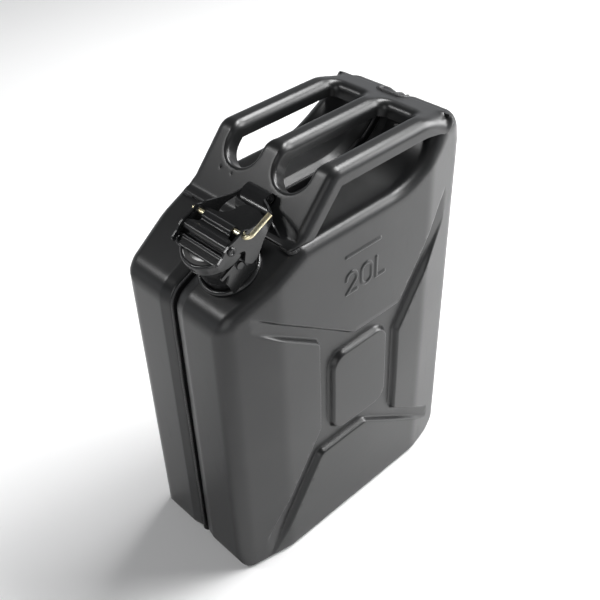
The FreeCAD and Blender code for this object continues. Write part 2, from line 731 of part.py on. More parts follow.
def neck_parts(shell):
    """Neck tube, rolled lip, base ring and ear plates with their studs."""
    sunk = 4.0
    bore_radius = NECK_RADIUS - SHEET
    mouth_start = NECK_HEIGHT - MOUTH_DEPTH
    tube = Part.makeCylinder(NECK_RADIUS, NECK_HEIGHT + sunk, V(0, 0, -sunk))
    tube = tube.cut(Part.makeCylinder(bore_radius, mouth_start + sunk + 1, V(0, 0, -sunk - 1)))
    tube = tube.cut(Part.makeCylinder(MOUTH_RADIUS, NECK_HEIGHT, V(0, 0, 1)))
    lip = Part.makeTorus(MOUTH_RADIUS + LIP_RADIUS, LIP_RADIUS, V(0, 0, NECK_HEIGHT)).cut(tube)
    slant_height = 10.0
    slant_low = V(0, 0, BASE_RING_HEIGHT - slant_height)
    ring = Part.makeCylinder(BASE_RING_RADIUS, slant_height, slant_low)
    ring = ring.cut(Part.makeCylinder(NECK_RADIUS, slant_height + 2, slant_low - V(0, 0, 1)))
    wide_end = BASE_RING_RADIUS + BASE_RING_SLANT - 1
    narrow_end = BASE_RING_RADIUS - BASE_RING_SLANT + 4
    ring = ring.common(Part.makeCone(wide_end, narrow_end, slant_height, slant_low))
    parts = {"neck_tube": spout_place(tube), "neck_lip": spout_place(lip)}
    parts["neck_base_ring"] = spout_place(ring).cut(shell)
    for name, side in (("neck_ear_outer", -1), ("neck_ear_inner", 1)):
        low, high = sorted((side * EAR_INNER, side * EAR_OUTER))
        stud_low, stud_high = sorted((side * EAR_OUTER, side * LEVER_FLANGE_OUTER))
        plate = prism_xz(ear_outline(), low, high)
        stud = rod(PIVOT_U, STUD_N, STUD_RADIUS, stud_low, stud_high)
        ear = merge([plate, stud]).cut(Part.makeCylinder(NECK_RADIUS, 60))
        parts[name] = spout_place(ear)
    return parts


def swept_tube(points, radii, radius):
    """Sweep a circle along a path of straight runs and arcs in one XZ plane."""
    stops = []
    for index, point in enumerate(points):
        bend = radii[index]
        if bend <= 0:
            stops.append([point])
            continue
        back = (points[index - 1] - point).normalize()
        ahead = (points[index + 1] - point).normalize()
        half = math.acos(back.dot(ahead)) / 2
        middle = (back + ahead).normalize()
        stops.append([
            point + back * (bend / math.tan(half)),
            point + middle * (bend / math.sin(half) - bend),
            point + ahead * (bend / math.tan(half)),
        ])
    edges = []
    for index, stop in enumerate(stops):
        if len(stop) == 3:
            edges.append(Part.Arc(*stop).toShape())
        if index + 1 < len(stops):
            edges.append(Part.makeLine(stop[-1], stops[index + 1][0]))
    path = Part.Wire(edges)
    direction = (points[1] - points[0]).normalize()
    circle = Part.Wire(Part.makeCircle(radius, points[0], direction))
    return path.makePipeShell([circle], True, True)


def spout_point(u, side, n):
    """Point of the spout frame in the frame of the can."""
    return spout_place(Part.Vertex(V(u, side, n))).Point


def vent_parts():
    """Vent tube from the neck to the air space under the rear top, and the clip that holds it."""
    points = [
        spout_point(VENT_U, 0, VENT_TOP),
        spout_point(VENT_U, 0, -VENT_ENTRY_DEPTH),
        V(SADDLE_RISE_X - 1.5, SPOUT_Y, SADDLE_Z - VENT_ENTRY_DEPTH),
        V(REAR - 31, SPOUT_Y, REAR_TOP_Z - 14),
    ]
    bore = swept_tube(points, VENT_BENDS, VENT_RADIUS - VENT_WALL)
    tube = swept_tube(points, VENT_BENDS, VENT_RADIUS).cut(bore)
    clip = box((VENT_U, NECK_RADIUS), (-CLIP_HALF_WIDTH, CLIP_HALF_WIDTH), (CLIP_LOW, CLIP_HIGH))
    clip = clip.common(Part.makeCylinder(NECK_RADIUS - SHEET, NECK_HEIGHT))
    clip = clip.cut(Part.makeCylinder(VENT_RADIUS, NECK_HEIGHT, V(VENT_U, 0, 0)))
    return {"vent_tube": tube, "vent_clip": spout_place(clip)}


def hinge_local():
    """Hinge axis in the spout frame, from its place over the front plate of the handle."""
    x, z = plate_point(HINGE_ALONG_PLATE, HINGE_STANDOFF)
    slope = math.radians(SHOULDER_ANGLE)
    dx = x - SPOUT_X
    dz = z - SPOUT_Z
    return (dx * math.cos(slope) + dz * math.sin(slope), -dx * math.sin(slope) + dz * math.cos(slope))


def hinge_parts(frame):
    """Bracket with two knuckles on the handle and the pin through them."""
    near = SPOUT_Y + HINGE_NEAR
    far = SPOUT_Y + HINGE_FAR
    x, z = plate_point(HINGE_ALONG_PLATE, HINGE_STANDOFF)
    plate = prism_xz(plain([
        plate_point(HINGE_ALONG_PLATE - BRACKET_BELOW, 0),
        plate_point(HINGE_ALONG_PLATE + BRACKET_ABOVE, 0),
        plate_point(HINGE_ALONG_PLATE + BRACKET_ABOVE, BRACKET_SHEET),
        plate_point(HINGE_ALONG_PLATE - BRACKET_BELOW, BRACKET_SHEET),
    ]), near, far)
    pieces = [plate]
    for start, end in ((near, near + HINGE_KNUCKLE), (far - HINGE_KNUCKLE, far)):
        pieces.append(rod(x, z, HINGE_BARREL_RADIUS, start, end))
        pieces.append(prism_xz(plain([
            plate_point(HINGE_ALONG_PLATE - HINGE_BARREL_RADIUS, 0),
            plate_point(HINGE_ALONG_PLATE + HINGE_BARREL_RADIUS, 0),
            plate_point(HINGE_ALONG_PLATE + HINGE_BARREL_RADIUS, HINGE_STANDOFF),
            plate_point(HINGE_ALONG_PLATE - HINGE_BARREL_RADIUS, HINGE_STANDOFF),
        ]), start, end))
    bracket = merge(pieces).cut(rod(x, z, HINGE_PIN_RADIUS, near - 1, far + 1)).cut(frame)
    pin = rod(x, z, HINGE_PIN_RADIUS, near - HINGE_PIN_PROUD, far + HINGE_PIN_PROUD)
    return {"hinge_bracket": bracket, "hinge_pin": pin}


def cheek_outline():
    """Side outline of a cheek of the strap, with a lobe in front of the lever claws."""
    lobe_low = CAP_TOP - 27.9
    return [
        (-19, CAP_TOP + 0.4, 1),
        (-10, CAP_TOP + 0.4, 1),
        (-1, CAP_TOP - 1, 3),
        (11.7, CAP_TOP - 8.9, 3),
        (4.5, CAP_TOP - 18.6, 3),
        (9, lobe_low, 3),
        (16, lobe_low, 5),
        (27, CAP_TOP - 21.1, 8),
        (STRAP_REAR_U - 9, CAP_TOP - 14.6, 8),
        (STRAP_REAR_U + 0.5, CAP_TOP - 1.6, 1),
        (STRAP_REAR_U, STRAP_TOP, 1),
        (STRAP_REAR_U - 7, STRAP_TOP + 0.3, 8),
        (28.5, PIVOT_N + 1, 8),
        (20.5, PIVOT_N + 5.5, 1),
        (10, PIVOT_N + 5.5, 4),
        (1, PIVOT_N + 7.5, 5),
        (-6, PIVOT_N + 5.5, 3),
        (-10, PIVOT_N + 3.5, 3),
        (-19, PIVOT_N + 1.5, 2),
    ]


def pin_notch():
    """Open notch in the cheeks that lets the locking pin swing out with the lever."""
    clear = PIN_RADIUS + NARROW_GAP
    reach = CHEEK_OUTER + 10
    arm = PIN_U - PIVOT_U
    ring = rod(PIVOT_U, PIVOT_N, arm + clear, -reach, reach)
    ring = ring.cut(rod(PIVOT_U, PIVOT_N, arm - clear, -reach - 1, reach + 1))
    sector = ring.common(box((0, 60), (-reach, reach), (PIVOT_N, PIVOT_N + 60)))
    return sector.fuse(rod(PIN_U, PIVOT_N, clear, -reach, reach))


def mirrored_plate(near_side, z_start, z_end):
    """Plate from the outline of its near side, mirrored in its far side."""
    far_side = [(a, -b, radius) for a, b, radius in reversed(near_side)]
    return prism_xy(near_side + far_side, z_start, z_end)


def closure_strap():
    """Pressed strap: two cheeks, the front and rear floor plates, the web and the hinge knuckle."""
    notch = pin_notch()
    pieces = []
    for side in (-1, 1):
        low, high = sorted((side * CHEEK_INNER, side * CHEEK_OUTER))
        pieces.append(prism_xz(cheek_outline(), low, high).cut(notch))
    front = mirrored_plate([
        (-26, -CHEEK_OUTER + 12, 3),
        (-24, -CHEEK_OUTER + 8, 2),
        (-19, -CHEEK_OUTER, 0),
        (RIDGE_U + 0.5, -CHEEK_OUTER, 0),
    ], CAP_TOP, STRAP_TOP)
    ridge_half = CHEEK_INNER - 5
    ridge = rod(RIDGE_U, STRAP_TOP - 0.2, RIDGE_RADIUS, -ridge_half, ridge_half)
    inner = LEVER_FLANGE_INNER - 0.6
    lever_clear_u = PIN_U + PIN_RADIUS + ROLL_WALL + 0.9
    step_u = STRAP_REAR_U - 9.2
    rear = mirrored_plate([
        (lever_clear_u, -inner, 0),
        (step_u, -inner, 0),
        (step_u, -CHEEK_OUTER, 0),
        (STRAP_REAR_U, -CHEEK_OUTER, 0),
    ], CAP_TOP, STRAP_TOP)
    hinge_u, hinge_n = hinge_local()
    knuckle_start = HINGE_NEAR + HINGE_KNUCKLE + NARROW_GAP
    knuckle_end = HINGE_FAR - HINGE_KNUCKLE - NARROW_GAP
    knuckle = rod(hinge_u, hinge_n, HINGE_BARREL_RADIUS, knuckle_start, knuckle_end)
    web = strap_web(hinge_u, hinge_n, knuckle_start, knuckle_end)
    whole = merge(pieces + [front, ridge, rear, web, knuckle])
    whole = whole.cut(rod(hinge_u, hinge_n, HINGE_PIN_RADIUS + TURNING_GAP, -60, 60))
    whole = whole.cut(rod(PIVOT_U, PIVOT_N, PIVOT_RADIUS, -60, 60))
    return spout_place(whole)


def strap_web(hinge_u, hinge_n, knuckle_start, knuckle_end):
    """Web plate that falls from the rear floor plate to the hinge and narrows on the near side."""
    top_u = STRAP_REAR_U - 1
    top_n = CAP_TOP + STRAP_SHEET / 2
    run_u = hinge_u - top_u
    run_n = hinge_n - top_n
    length = math.hypot(run_u, run_n)
    clear = HINGE_BARREL_RADIUS + 1.2
    plate = prism_xy([
        (0, -CHEEK_OUTER, 0),
        (8, -CHEEK_OUTER, 6),
        (length - clear, knuckle_start - 3, 4),
        (length - clear, knuckle_start, 0),
        (length, knuckle_start, 0),
        (length, knuckle_end, 0),
        (length - clear, knuckle_end, 0),
        (length - clear, CHEEK_INNER, 4),
        (8, CHEEK_OUTER, 4),
        (0, CHEEK_OUTER, 0),
    ], -STRAP_SHEET / 2, STRAP_SHEET / 2)
    angle = math.degrees(math.atan2(run_n, run_u))
    plate.Placement = FreeCAD.Placement(V(top_u, 0, top_n), FreeCAD.Rotation(ALONG_Y, -angle))
    return plate


def cap_parts():
    """Cap shell with its gasket, the dished plate that holds it and the rivet."""
    inner_top = CAP_TOP - CAP_SHEET
    inner_radius = CAP_RADIUS - CAP_SHEET
    cup_floor = inner_top - RETAINER_SHEET
    cap = turned([
        (0, inner_top, 0),
        (inner_radius, inner_top, CAP_ROUNDING - CAP_SHEET),
        (inner_radius, CAP_BOTTOM, 0),
        (CAP_RADIUS, CAP_BOTTOM, 0),
        (CAP_RADIUS, CAP_TOP, CAP_ROUNDING),
        (0, CAP_TOP, 0),
    ])
    shank = Part.makeCylinder(RIVET_RADIUS, CAP_TOP - cup_floor, V(0, 0, cup_floor))
    head = Part.makeCylinder(RIVET_HEAD, RIVET_HEAD_HEIGHT, V(0, 0, cup_floor - RIVET_HEAD_HEIGHT))
    rivet = merge([shank, head])
    gasket = turned(plain([
        (GASKET_BORE, GASKET_BOTTOM),
        (GASKET_RADIUS, GASKET_BOTTOM),
        (GASKET_RADIUS, inner_top),
        (GASKET_BORE, inner_top),
    ]))
    retainer = turned(plain([
        (0, cup_floor),
        (RETAINER_CUP - RETAINER_SHEET, cup_floor),
        (RETAINER_CUP - RETAINER_SHEET, GASKET_BOTTOM - RETAINER_SHEET),
        (RETAINER_FLANGE, GASKET_BOTTOM - RETAINER_SHEET),
        (RETAINER_FLANGE, GASKET_BOTTOM),
        (RETAINER_CUP, GASKET_BOTTOM),
        (RETAINER_CUP, inner_top),
        (0, inner_top),
    ]))
    return {
        "cap_shell": spout_place(cap.cut(rivet)),
        "cap_gasket": spout_place(gasket),
        "gasket_retainer": spout_place(retainer.cut(rivet)),
        "cap_rivet": spout_place(rivet),
    }


def pivot_pin():
    """Pin that carries the lever between the cheeks, with a head at each end."""
    end = CHEEK_OUTER + PIVOT_HEAD_HEIGHT
    shank = rod(PIVOT_U, PIVOT_N, PIVOT_RADIUS, -CHEEK_OUTER, CHEEK_OUTER)
    heads = [
        rod(PIVOT_U, PIVOT_N, PIVOT_HEAD, -end, -CHEEK_OUTER),
        rod(PIVOT_U, PIVOT_N, PIVOT_HEAD, CHEEK_OUTER, end),
    ]
    return spout_place(merge([shank] + heads))


def cam_lever():
    """Lever: top plate rolled round both pins, with two side flanges that end in claws."""
    pivot_roll = PIVOT_RADIUS + ROLL_WALL
    tail_roll = PIN_RADIUS + ROLL_WALL
    plate_top = PIVOT_N + pivot_roll
    plate_low = plate_top - LEVER_SHEET
    flange_top = plate_top - 0.2
    wide = LEVER_FLANGE_OUTER
    narrow = LEVER_TAIL_HALF
    pieces = [
        rod(PIVOT_U, PIVOT_N, pivot_roll, -wide, wide),
        rod(PIN_U, PIVOT_N, tail_roll, -narrow, narrow),
        box((PIVOT_U, 10), (-wide, wide), (plate_low, plate_top)),
        box((PIVOT_U, PIN_U), (-narrow, narrow), (plate_low, plate_top)),
    ]
    beside_cap = LEVER_FLANGE_INNER - SHEET_GAP - 0.27
    cap_clear_u = math.sqrt(CAP_RADIUS ** 2 - beside_cap ** 2)
    claw_u = PIVOT_U + STUD_RADIUS + 1
    claw_low = STUD_N - STUD_RADIUS - 3
    flange_outline = [
        (0, CAP_TOP + 0.6, 0),
        (cap_clear_u, CAP_TOP + 0.6, 1),
        (cap_clear_u, CAP_BOTTOM - 0.5, 3),
        (claw_u, STUD_N + STUD_RADIUS, 1),
        (claw_u, claw_low, 1),
        (claw_u + 9, claw_low - 0.4, 2),
        (PIN_U + 1, claw_low + 2, 3),
        (PIN_U + 1, CAP_TOP - 2.6, 3),
        (PIN_U + 4.8, PIVOT_N - 2, 3),
        (PIN_U + 4, flange_top, 3),
        (0, flange_top, 0),
    ]
    for side in (-1, 1):
        low, high = sorted((side * LEVER_FLANGE_INNER, side * LEVER_FLANGE_OUTER))
        pieces.append(prism_xz(flange_outline, low, high))
    whole = merge(pieces)
    whole = whole.cut(rod(PIVOT_U, PIVOT_N, PIVOT_RADIUS + TURNING_GAP, -60, 60))
    whole = whole.cut(rod(PIN_U, PIVOT_N, PIN_RADIUS + TURNING_GAP, -60, 60))
    return spout_place(whole)


def locking_pin():
    """Bent rod through the tail of the lever, its leg lying along the near cheek."""
    far_end = CHEEK_OUTER + PIN_FAR_REACH
    leg = -CHEEK_OUTER - PIN_LEG_GAP - PIN_RADIUS
    corner = math.sqrt(0.5) * PIN_BEND
    path = Part.Wire([
        Part.makeLine(V(PIN_U, far_end, PIVOT_N), V(PIN_U, leg + PIN_BEND, PIVOT_N)),
        Part.Arc(
            V(PIN_U, leg + PIN_BEND, PIVOT_N),
            V(PIN_U + PIN_BEND - corner, leg + PIN_BEND - corner, PIVOT_N),
            V(PIN_U + PIN_BEND, leg, PIVOT_N),
        ).toShape(),
        Part.makeLine(V(PIN_U + PIN_BEND, leg, PIVOT_N), V(STRAP_REAR_U, leg, PIVOT_N)),
    ])
    circle = Part.Wire(Part.makeCircle(PIN_RADIUS, V(PIN_U, far_end, PIVOT_N), ALONG_Y))
    return spout_place(path.makePipeShell([circle], True, True))


def build():
    """Make every named solid and write it out."""
    (near_half, far_half), outer = shell_halves()
    strip = flange_ring(FLANGE_BELOW_SURFACE, SADDLE_FLANGE_RISE, GROOVE_DEPTH + SHEET / 2, SHEET)
    bead = seam_bead([near_half, far_half])
    parts = {"half_shell_spout_side": near_half, "half_shell_plain_side": far_half, "seam_weld": bead}
    parts["handle_frame"] = handle_frame(outer, strip.fuse(bead))
    parts["handle_weld"] = rear_weld(outer.fuse(strip).fuse(bead), parts["handle_frame"])
    parts.update(neck_parts(outer))
    parts.update(vent_parts())
    parts.update(hinge_parts(parts["handle_frame"]))
    parts["closure_strap"] = closure_strap()
    parts.update(cap_parts())
    parts["lever_pivot"] = pivot_pin()
    parts["cam_lever"] = cam_lever()
    parts["locking_pin"] = locking_pin()
    os.makedirs("parts", exist_ok=True)
    for name, shape in parts.items():
        shape.exportStep("parts/" + name + ".step")
        size = shape.BoundBox
        print(name, shape.ShapeType, len(shape.Solids), shape.isValid(), round(shape.Volume),
              [round(value, 1) for value in (size.XMin, size.XMax, size.YMin, size.YMax, size.ZMin, size.ZMax)])


build()
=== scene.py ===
"""Looks of a twenty litre pressed steel can: satin black halves, triple bar handle and cam lever cap.

Sizes are in millimetres until a mesh is made. X runs from the spout end to the rear, Z up from the floor.
"""

import math

import bmesh
import bpy
import numpy as np
from mathutils import Matrix, Vector
from mathutils.geometry import delaunay_2d_cdt


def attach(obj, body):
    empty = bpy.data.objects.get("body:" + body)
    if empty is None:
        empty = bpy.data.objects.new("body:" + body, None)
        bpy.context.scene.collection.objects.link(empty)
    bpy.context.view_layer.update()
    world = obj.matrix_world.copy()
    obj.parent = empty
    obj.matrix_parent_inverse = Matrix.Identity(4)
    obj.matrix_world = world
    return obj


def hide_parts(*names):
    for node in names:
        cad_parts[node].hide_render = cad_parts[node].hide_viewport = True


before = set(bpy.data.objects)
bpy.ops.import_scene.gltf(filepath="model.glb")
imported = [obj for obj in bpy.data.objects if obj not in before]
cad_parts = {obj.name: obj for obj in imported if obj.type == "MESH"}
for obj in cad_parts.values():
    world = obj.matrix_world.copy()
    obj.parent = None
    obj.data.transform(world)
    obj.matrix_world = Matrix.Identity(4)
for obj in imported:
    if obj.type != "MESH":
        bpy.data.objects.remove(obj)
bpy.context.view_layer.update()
MM = 0.001

# Overall size
LENGTH = 342.0
WIDTH = 177.0
HEIGHT = 470.0
FRONT = -LENGTH / 2
REAR = LENGTH / 2
SHEET = 0.9

# Side outline of the body: corners with their radii, counterclockwise seen from the spout side
SHOULDER_ANGLE = math.radians(26)
SHOULDER_START_Z = 367.0
SADDLE_Z = 414.0
REAR_TOP_Z = 461.0
SHOULDER_END_X = FRONT + (SADDLE_Z - SHOULDER_START_Z) / math.tan(SHOULDER_ANGLE)
SADDLE_RISE_X = REAR - 79.5
REAR_STEP_X = SADDLE_RISE_X + (REAR_TOP_Z - SADDLE_Z) / math.tan(math.radians(52))
SIDE_OUTLINE = [
    (FRONT, 0, 14),
    (REAR, 0, 38),
    (REAR, REAR_TOP_Z, 22),
    (REAR_STEP_X, REAR_TOP_Z, 15),
    (SADDLE_RISE_X, SADDLE_Z, 85),
    (SHOULDER_END_X, SADDLE_Z, 12),
    (FRONT, SHOULDER_START_Z, 28),
]

# Plan outline and rounding of the broad sides
FLAT_SIDE_HALF = 108.5
BAND_SLOPE = 13.5 / 62.5
CREASE_REACH = 6.0
CORNER_RADIUS = 20.0
TOP_EDGE_RADIUS = 12.0
BOTTOM_EDGE_RADIUS = 6.0
REAR_EDGE_EXTRA = 7.0
END_EDGE_REACH = 15.5
CORNER_REACH = 11.0

# Seam groove with its standing flange
FLANGE_DROP = 2.2
SADDLE_FLANGE_DROP = -1.0

# Pressing and capacity mark
PRESSING_CENTRE = np.array((5.0, 197.0))
PRESSING_DEPTH = 7.0
PANEL_HALF_SIZE = (41, 54)
PANEL_RADIUS = 17
FIELD_RADIUS = 8
STEEP_WALL = 1.5
SHALLOW_WALL = 0.71
MARK_HEIGHT = 1.2
MARK_HALF_STROKE = 1.75

# Spout frame
SPOUT_CENTRE = np.array((-121.0, -34.0, SHOULDER_START_Z + 50 * math.tan(SHOULDER_ANGLE)))
SPOUT_UP_SLOPE = np.array((math.cos(SHOULDER_ANGLE), 0, math.sin(SHOULDER_ANGLE)))
SPOUT_NORMAL = np.array((-math.sin(SHOULDER_ANGLE), 0, math.cos(SHOULDER_ANGLE)))
NECK_HOLE_RADIUS = 28.3
SEAT_RADIUS = 33.0

# Handle
HANDLE_SHEET = 1.5
HANDLE_LEAN = math.radians(51)
HANDLE_BASE = np.array((SHOULDER_END_X + 0.6, 411.0))
HANDLE_TOP_START_X = HANDLE_BASE[0] + (HEIGHT - HANDLE_BASE[1]) / math.tan(HANDLE_LEAN)
HANDLE_TOP_END_X = 105.0
HANDLE_REAR = (146.5, 462.2)
HANDLE_DEPTH = 15.5
BAR_OUTER_EDGE = 80.0
BAR_WIDTH = 22.0
BAR_ROUNDING = 8.0
RIM_ROUNDING = 3.2
SLOT_FRONT_RISE = 37.0
SLOT_REAR_X = 116.0
REAR_NOTCH_HALF_WIDTH = 17.0
REAR_NOTCH_DEPTH = 9.0
LATE_ROUNDING = 10.0
PLATE_HOLES = ((29, 50, 1.8), (28, 33, 1.2))


# Points, rings and surfaces


def unit(vector):
    """The vector at length one."""
    return vector / np.linalg.norm(vector)


def ease(value):
    """Smooth step from nought to one."""
    share = np.clip(value, 0, 1)
    return share * share * (3 - 2 * share)


def rounded(corners, closed=True):
    """Dense points along an outline of corners (a, b, radius)."""
    places = np.array([corner[:2] for corner in corners], float)
    dense = []
    for index, corner in enumerate(corners):
        place = places[index]
        if corner[2] == 0 or (not closed and index in (0, len(corners) - 1)):
            dense.append(place)
            continue
        back = unit(places[index - 1] - place)
        ahead = unit(places[(index + 1) % len(corners)] - place)
        half = math.acos(back @ ahead) / 2
        centre = place + unit(back + ahead) * corner[2] / math.sin(half)
        reach = corner[2] / math.tan(half)
        start = place + back * reach - centre
        end = place + ahead * reach - centre
        first = math.atan2(start[1], start[0])
        turn = (math.atan2(end[1], end[0]) - first + math.pi) % (2 * math.pi) - math.pi
        for share in np.linspace(0, 1, 25):
            angle = first + turn * share
            dense.append(centre + corner[2] * np.array((math.cos(angle), math.sin(angle))))
    return np.array(dense)


def evenly(points, spacing, closed=True):
    """Evenly spaced points along a line or ring."""
    line = np.vstack([points, points[:1]]) if closed else np.asarray(points)
    along = np.concatenate([[0], np.cumsum(np.linalg.norm(np.diff(line, axis=0), axis=1))])
    count = max(3, round(along[-1] / spacing))
    wanted = np.linspace(0, along[-1], count + 1)
    if closed:
        wanted = wanted[:-1]
    return np.column_stack([np.interp(wanted, along, line[:, axis]) for axis in range(line.shape[1])])


def smooth_line(points, steps=6):
    """Catmull-Rom line through points."""
    ends = np.vstack([2 * points[0] - points[1], points, 2 * points[-1] - points[-2]])
    made = []
    for a, b, c, d in zip(ends[:-3], ends[1:-2], ends[2:-1], ends[3:]):
        for t in np.linspace(0, 1, steps, endpoint=False):
            made.append(0.5 * (
                2 * b + (c - a) * t + (2 * a - 5 * b + 4 * c - d) * t ** 2 + (3 * b - a - 3 * c + d) * t ** 3
            ))
    made.append(points[-1])
    return np.array(made)


def left_normals(ring):
    """Unit normals on the left of a ring, which is inwards where it runs counterclockwise."""
    along = np.roll(ring, -1, 0) - np.roll(ring, 1, 0)
    along /= np.linalg.norm(along, axis=1)[:, None]
    return np.column_stack([-along[:, 1], along[:, 0]])


def smooth_ring(values, width):
    """Values round a ring, averaged over neighbours."""
    window = np.hanning(2 * width + 3)[1:-1]
    padded = np.concatenate([values[-width:], values, values[:width]])
    return np.convolve(padded, window / window.sum(), "valid")


def distance_to(ring, points, closed=True):
    """Distance of each point from a ring or an open line."""
    start = ring if closed else ring[:-1]
    step = (np.roll(ring, -1, 0) if closed else ring[1:]) - start
    length = (step ** 2).sum(1)
    found = np.empty(len(points))
    for low in range(0, len(points), 2000):
        part = points[low:low + 2000, None, :] - start[None]
        share = np.clip((part * step).sum(2) / length, 0, 1)
        gap = part - share[..., None] * step
        found[low:low + 2000] = np.sqrt((gap ** 2).sum(2).min(1))
    return found


def inside(ring, points):
    """Tells which points lie inside a ring."""
    a = ring[None]
    b = np.roll(ring, -1, 0)[None]
    x = points[:, :1]
    y = points[:, 1:]
    with np.errstate(divide="ignore", invalid="ignore"):
        crossed = ((a[..., 1] > y) != (b[..., 1] > y)) & (
            x < (b[..., 0] - a[..., 0]) * (y - a[..., 1]) / (b[..., 1] - a[..., 1]) + a[..., 0]
        )
    return crossed.sum(1) % 2 == 1


def counterclockwise(corners):
    """The same corners in counterclockwise order."""
    a = np.array(corners, float)
    b = np.roll(a, -1, 0)
    area = (a[:, 0] * b[:, 1] - b[:, 0] * a[:, 1]).sum()
    return a if area > 0 else a[::-1]


def in_spout_frame(points):
    """Places in space of rows (u, v, n): up the shoulder, across it, and off it."""
    rows = np.asarray(points, float)
    across = np.array((0, 1, 0))
    return SPOUT_CENTRE + rows[:, :1] * SPOUT_UP_SLOPE + rows[:, 1:2] * across + rows[:, 2:] * SPOUT_NORMAL


def lattice(low, high, spacing):
    """Points of a staggered lattice between two corners."""
    rows = np.arange(low[1], high[1], spacing * 0.87)
    columns = np.arange(low[0], high[0], spacing)
    a, b = np.meshgrid(columns, rows)
    a = a + (np.arange(len(rows)) % 2)[:, None] * spacing / 2
    return np.column_stack([a.ravel(), b.ravel()])


def triangles_between(rings, points, keep):
    """Triangles over rings and loose points; keep tells which centres belong to the sheet."""
    flat = np.vstack(rings + [points])
    edges = []
    start = 0
    for ring in rings:
        count = len(ring)
        edges += [(start + step, start + (step + 1) % count) for step in range(count)]
        start += count
    result = delaunay_2d_cdt([Vector(point) for point in flat.tolist()], edges, [], 0, 1e-5)
    first = np.array([origin[0] if origin else -1 for origin in result[3]])
    faces = first[np.array(result[2])]
    faces = faces[(faces >= 0).all(1)]
    return faces[keep(flat[faces].mean(1))]


def strip_faces(rows, count):
    """Triangles that join rows of point numbers; the first row is the sheet's own ring."""
    step = np.arange(count)
    ahead = (step + 1) % count
    made = []
    for inner, outer in zip(rows[:-1], rows[1:]):
        made.append(np.column_stack([inner + ahead, inner + step, outer + step]))
        made.append(np.column_stack([inner + ahead, outer + step, outer + ahead]))
    return np.vstack(made)


def walled_sheet(borders, flat, sheet, walls, keep):
    """Points and faces of a sheet with walls at its borders.

    The borders and the loose flat points are joined by triangles. The sheet holds the loose points in space,
    and each wall holds its rows in space, with the border's own row first.
    """
    points = [wall[0] for wall in walls] + [sheet]
    faces = [triangles_between(borders, flat, keep)]
    first = 0
    position = sum(len(part) for part in points)
    for wall in walls:
        count = len(wall[0])
        more = len(wall) - 1
        points += wall[1:]
        faces.append(strip_faces([first] + [position + count * row for row in range(more)], count))
        first += count
        position += count * more
    return np.vstack(points), np.vstack(faces)


def point_normals(points, faces):
    """Normal of each point from the faces around it."""
    corners = points[faces]
    across = np.cross(corners[:, 1] - corners[:, 0], corners[:, 2] - corners[:, 0])
    total = np.zeros_like(points)
    for corner in range(3):
        np.add.at(total, faces[:, corner], across)
    return total / np.maximum(np.linalg.norm(total, axis=1), 1e-12)[:, None]


def thickened(points, faces, thickness):
    """Closed sheet: the faces, the same faces set back inside, and a rim between them."""
    count = len(points)
    inner = points - point_normals(points, faces) * thickness
    starts = np.vstack([faces[:, [0, 1]], faces[:, [1, 2]], faces[:, [2, 0]]])
    codes = starts[:, 0] * count + starts[:, 1]
    twins = starts[:, 1] * count + starts[:, 0]
    rim = starts[~np.isin(codes, twins)]
    a, b = rim[:, 0], rim[:, 1]
    rims = [np.column_stack([b, a, a + count]), np.column_stack([b, a + count, b + count])]
    return np.vstack([points, inner]), np.vstack([faces, faces[:, ::-1] + count] + rims)


def solid_mesh(name, points, faces, sharp=50):
    """Smooth mesh in metres, with creases kept sharp."""
    used, numbers = np.unique(faces, return_inverse=True)
    mesh = bpy.data.meshes.new(name)
    mesh.from_pydata((points[used] * MM).tolist(), [], numbers.reshape(faces.shape).tolist())
    mesh.shade_smooth()
    mesh.set_sharp_from_angle(angle=math.radians(sharp))
    return mesh


def merged(meshes):
    """One mesh from several plain ones."""
    work = bmesh.new()
    for mesh in meshes:
        work.from_mesh(mesh)
    made = bpy.data.meshes.new(meshes[0].name)
    work.to_mesh(made)
    work.free()
    made.shade_smooth()
    return made


def in_scene(name, data):
    """Object with the data, linked into the scene."""
    made = bpy.data.objects.new(name, data)
    bpy.context.scene.collection.objects.link(made)
    return made


def place_piece(name, mesh, body, material, nodes=()):
    """Puts a finished mesh on its body, in place of the named parts."""
    mesh.materials.clear()
    mesh.materials.append(material)
    piece = in_scene(name, mesh)
    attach(piece, body)
    if nodes:
        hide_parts(*nodes)
    return piece


def finished(piece):
    """Plain mesh of an object with its modifiers used up."""
    seen = piece.evaluated_get(bpy.context.evaluated_depsgraph_get())
    return bpy.data.meshes.new_from_object(seen)


# Materials


class Value:
    """A number that changes over a surface or along a line, used in plain arithmetic."""

    def __init__(self, builder, socket):
        self.builder = builder
        self.socket = socket

    def maths(self, operation, *values):
        node = self.builder.node("ShaderNodeMath", {"operation": operation}, dict(enumerate(values)))
        return Value(self.builder, node.outputs[0])

    def __add__(self, other):
        return self.maths("ADD", self, other)

    def __sub__(self, other):
        return self.maths("SUBTRACT", self, other)

    def __rsub__(self, other):
        return self.maths("SUBTRACT", other, self)

    def __mul__(self, other):
        return self.maths("MULTIPLY", self, other)

    def __truediv__(self, other):
        return self.maths("DIVIDE", self, other)

    __radd__ = __add__
    __rmul__ = __mul__

    def clipped(self):
        """The value held between nought and one."""
        node = self.builder.node("ShaderNodeClamp", {}, {"Value": self})
        return Value(self.builder, node.outputs[0])

    def between(self, low, high):
        """Nought below low, one above high, smooth between them."""
        sockets = {"Value": self, "From Min": low, "From Max": high}
        node = self.builder.node("ShaderNodeMapRange", {"interpolation_type": "SMOOTHSTEP"}, sockets)
        return Value(self.builder, node.outputs[0])


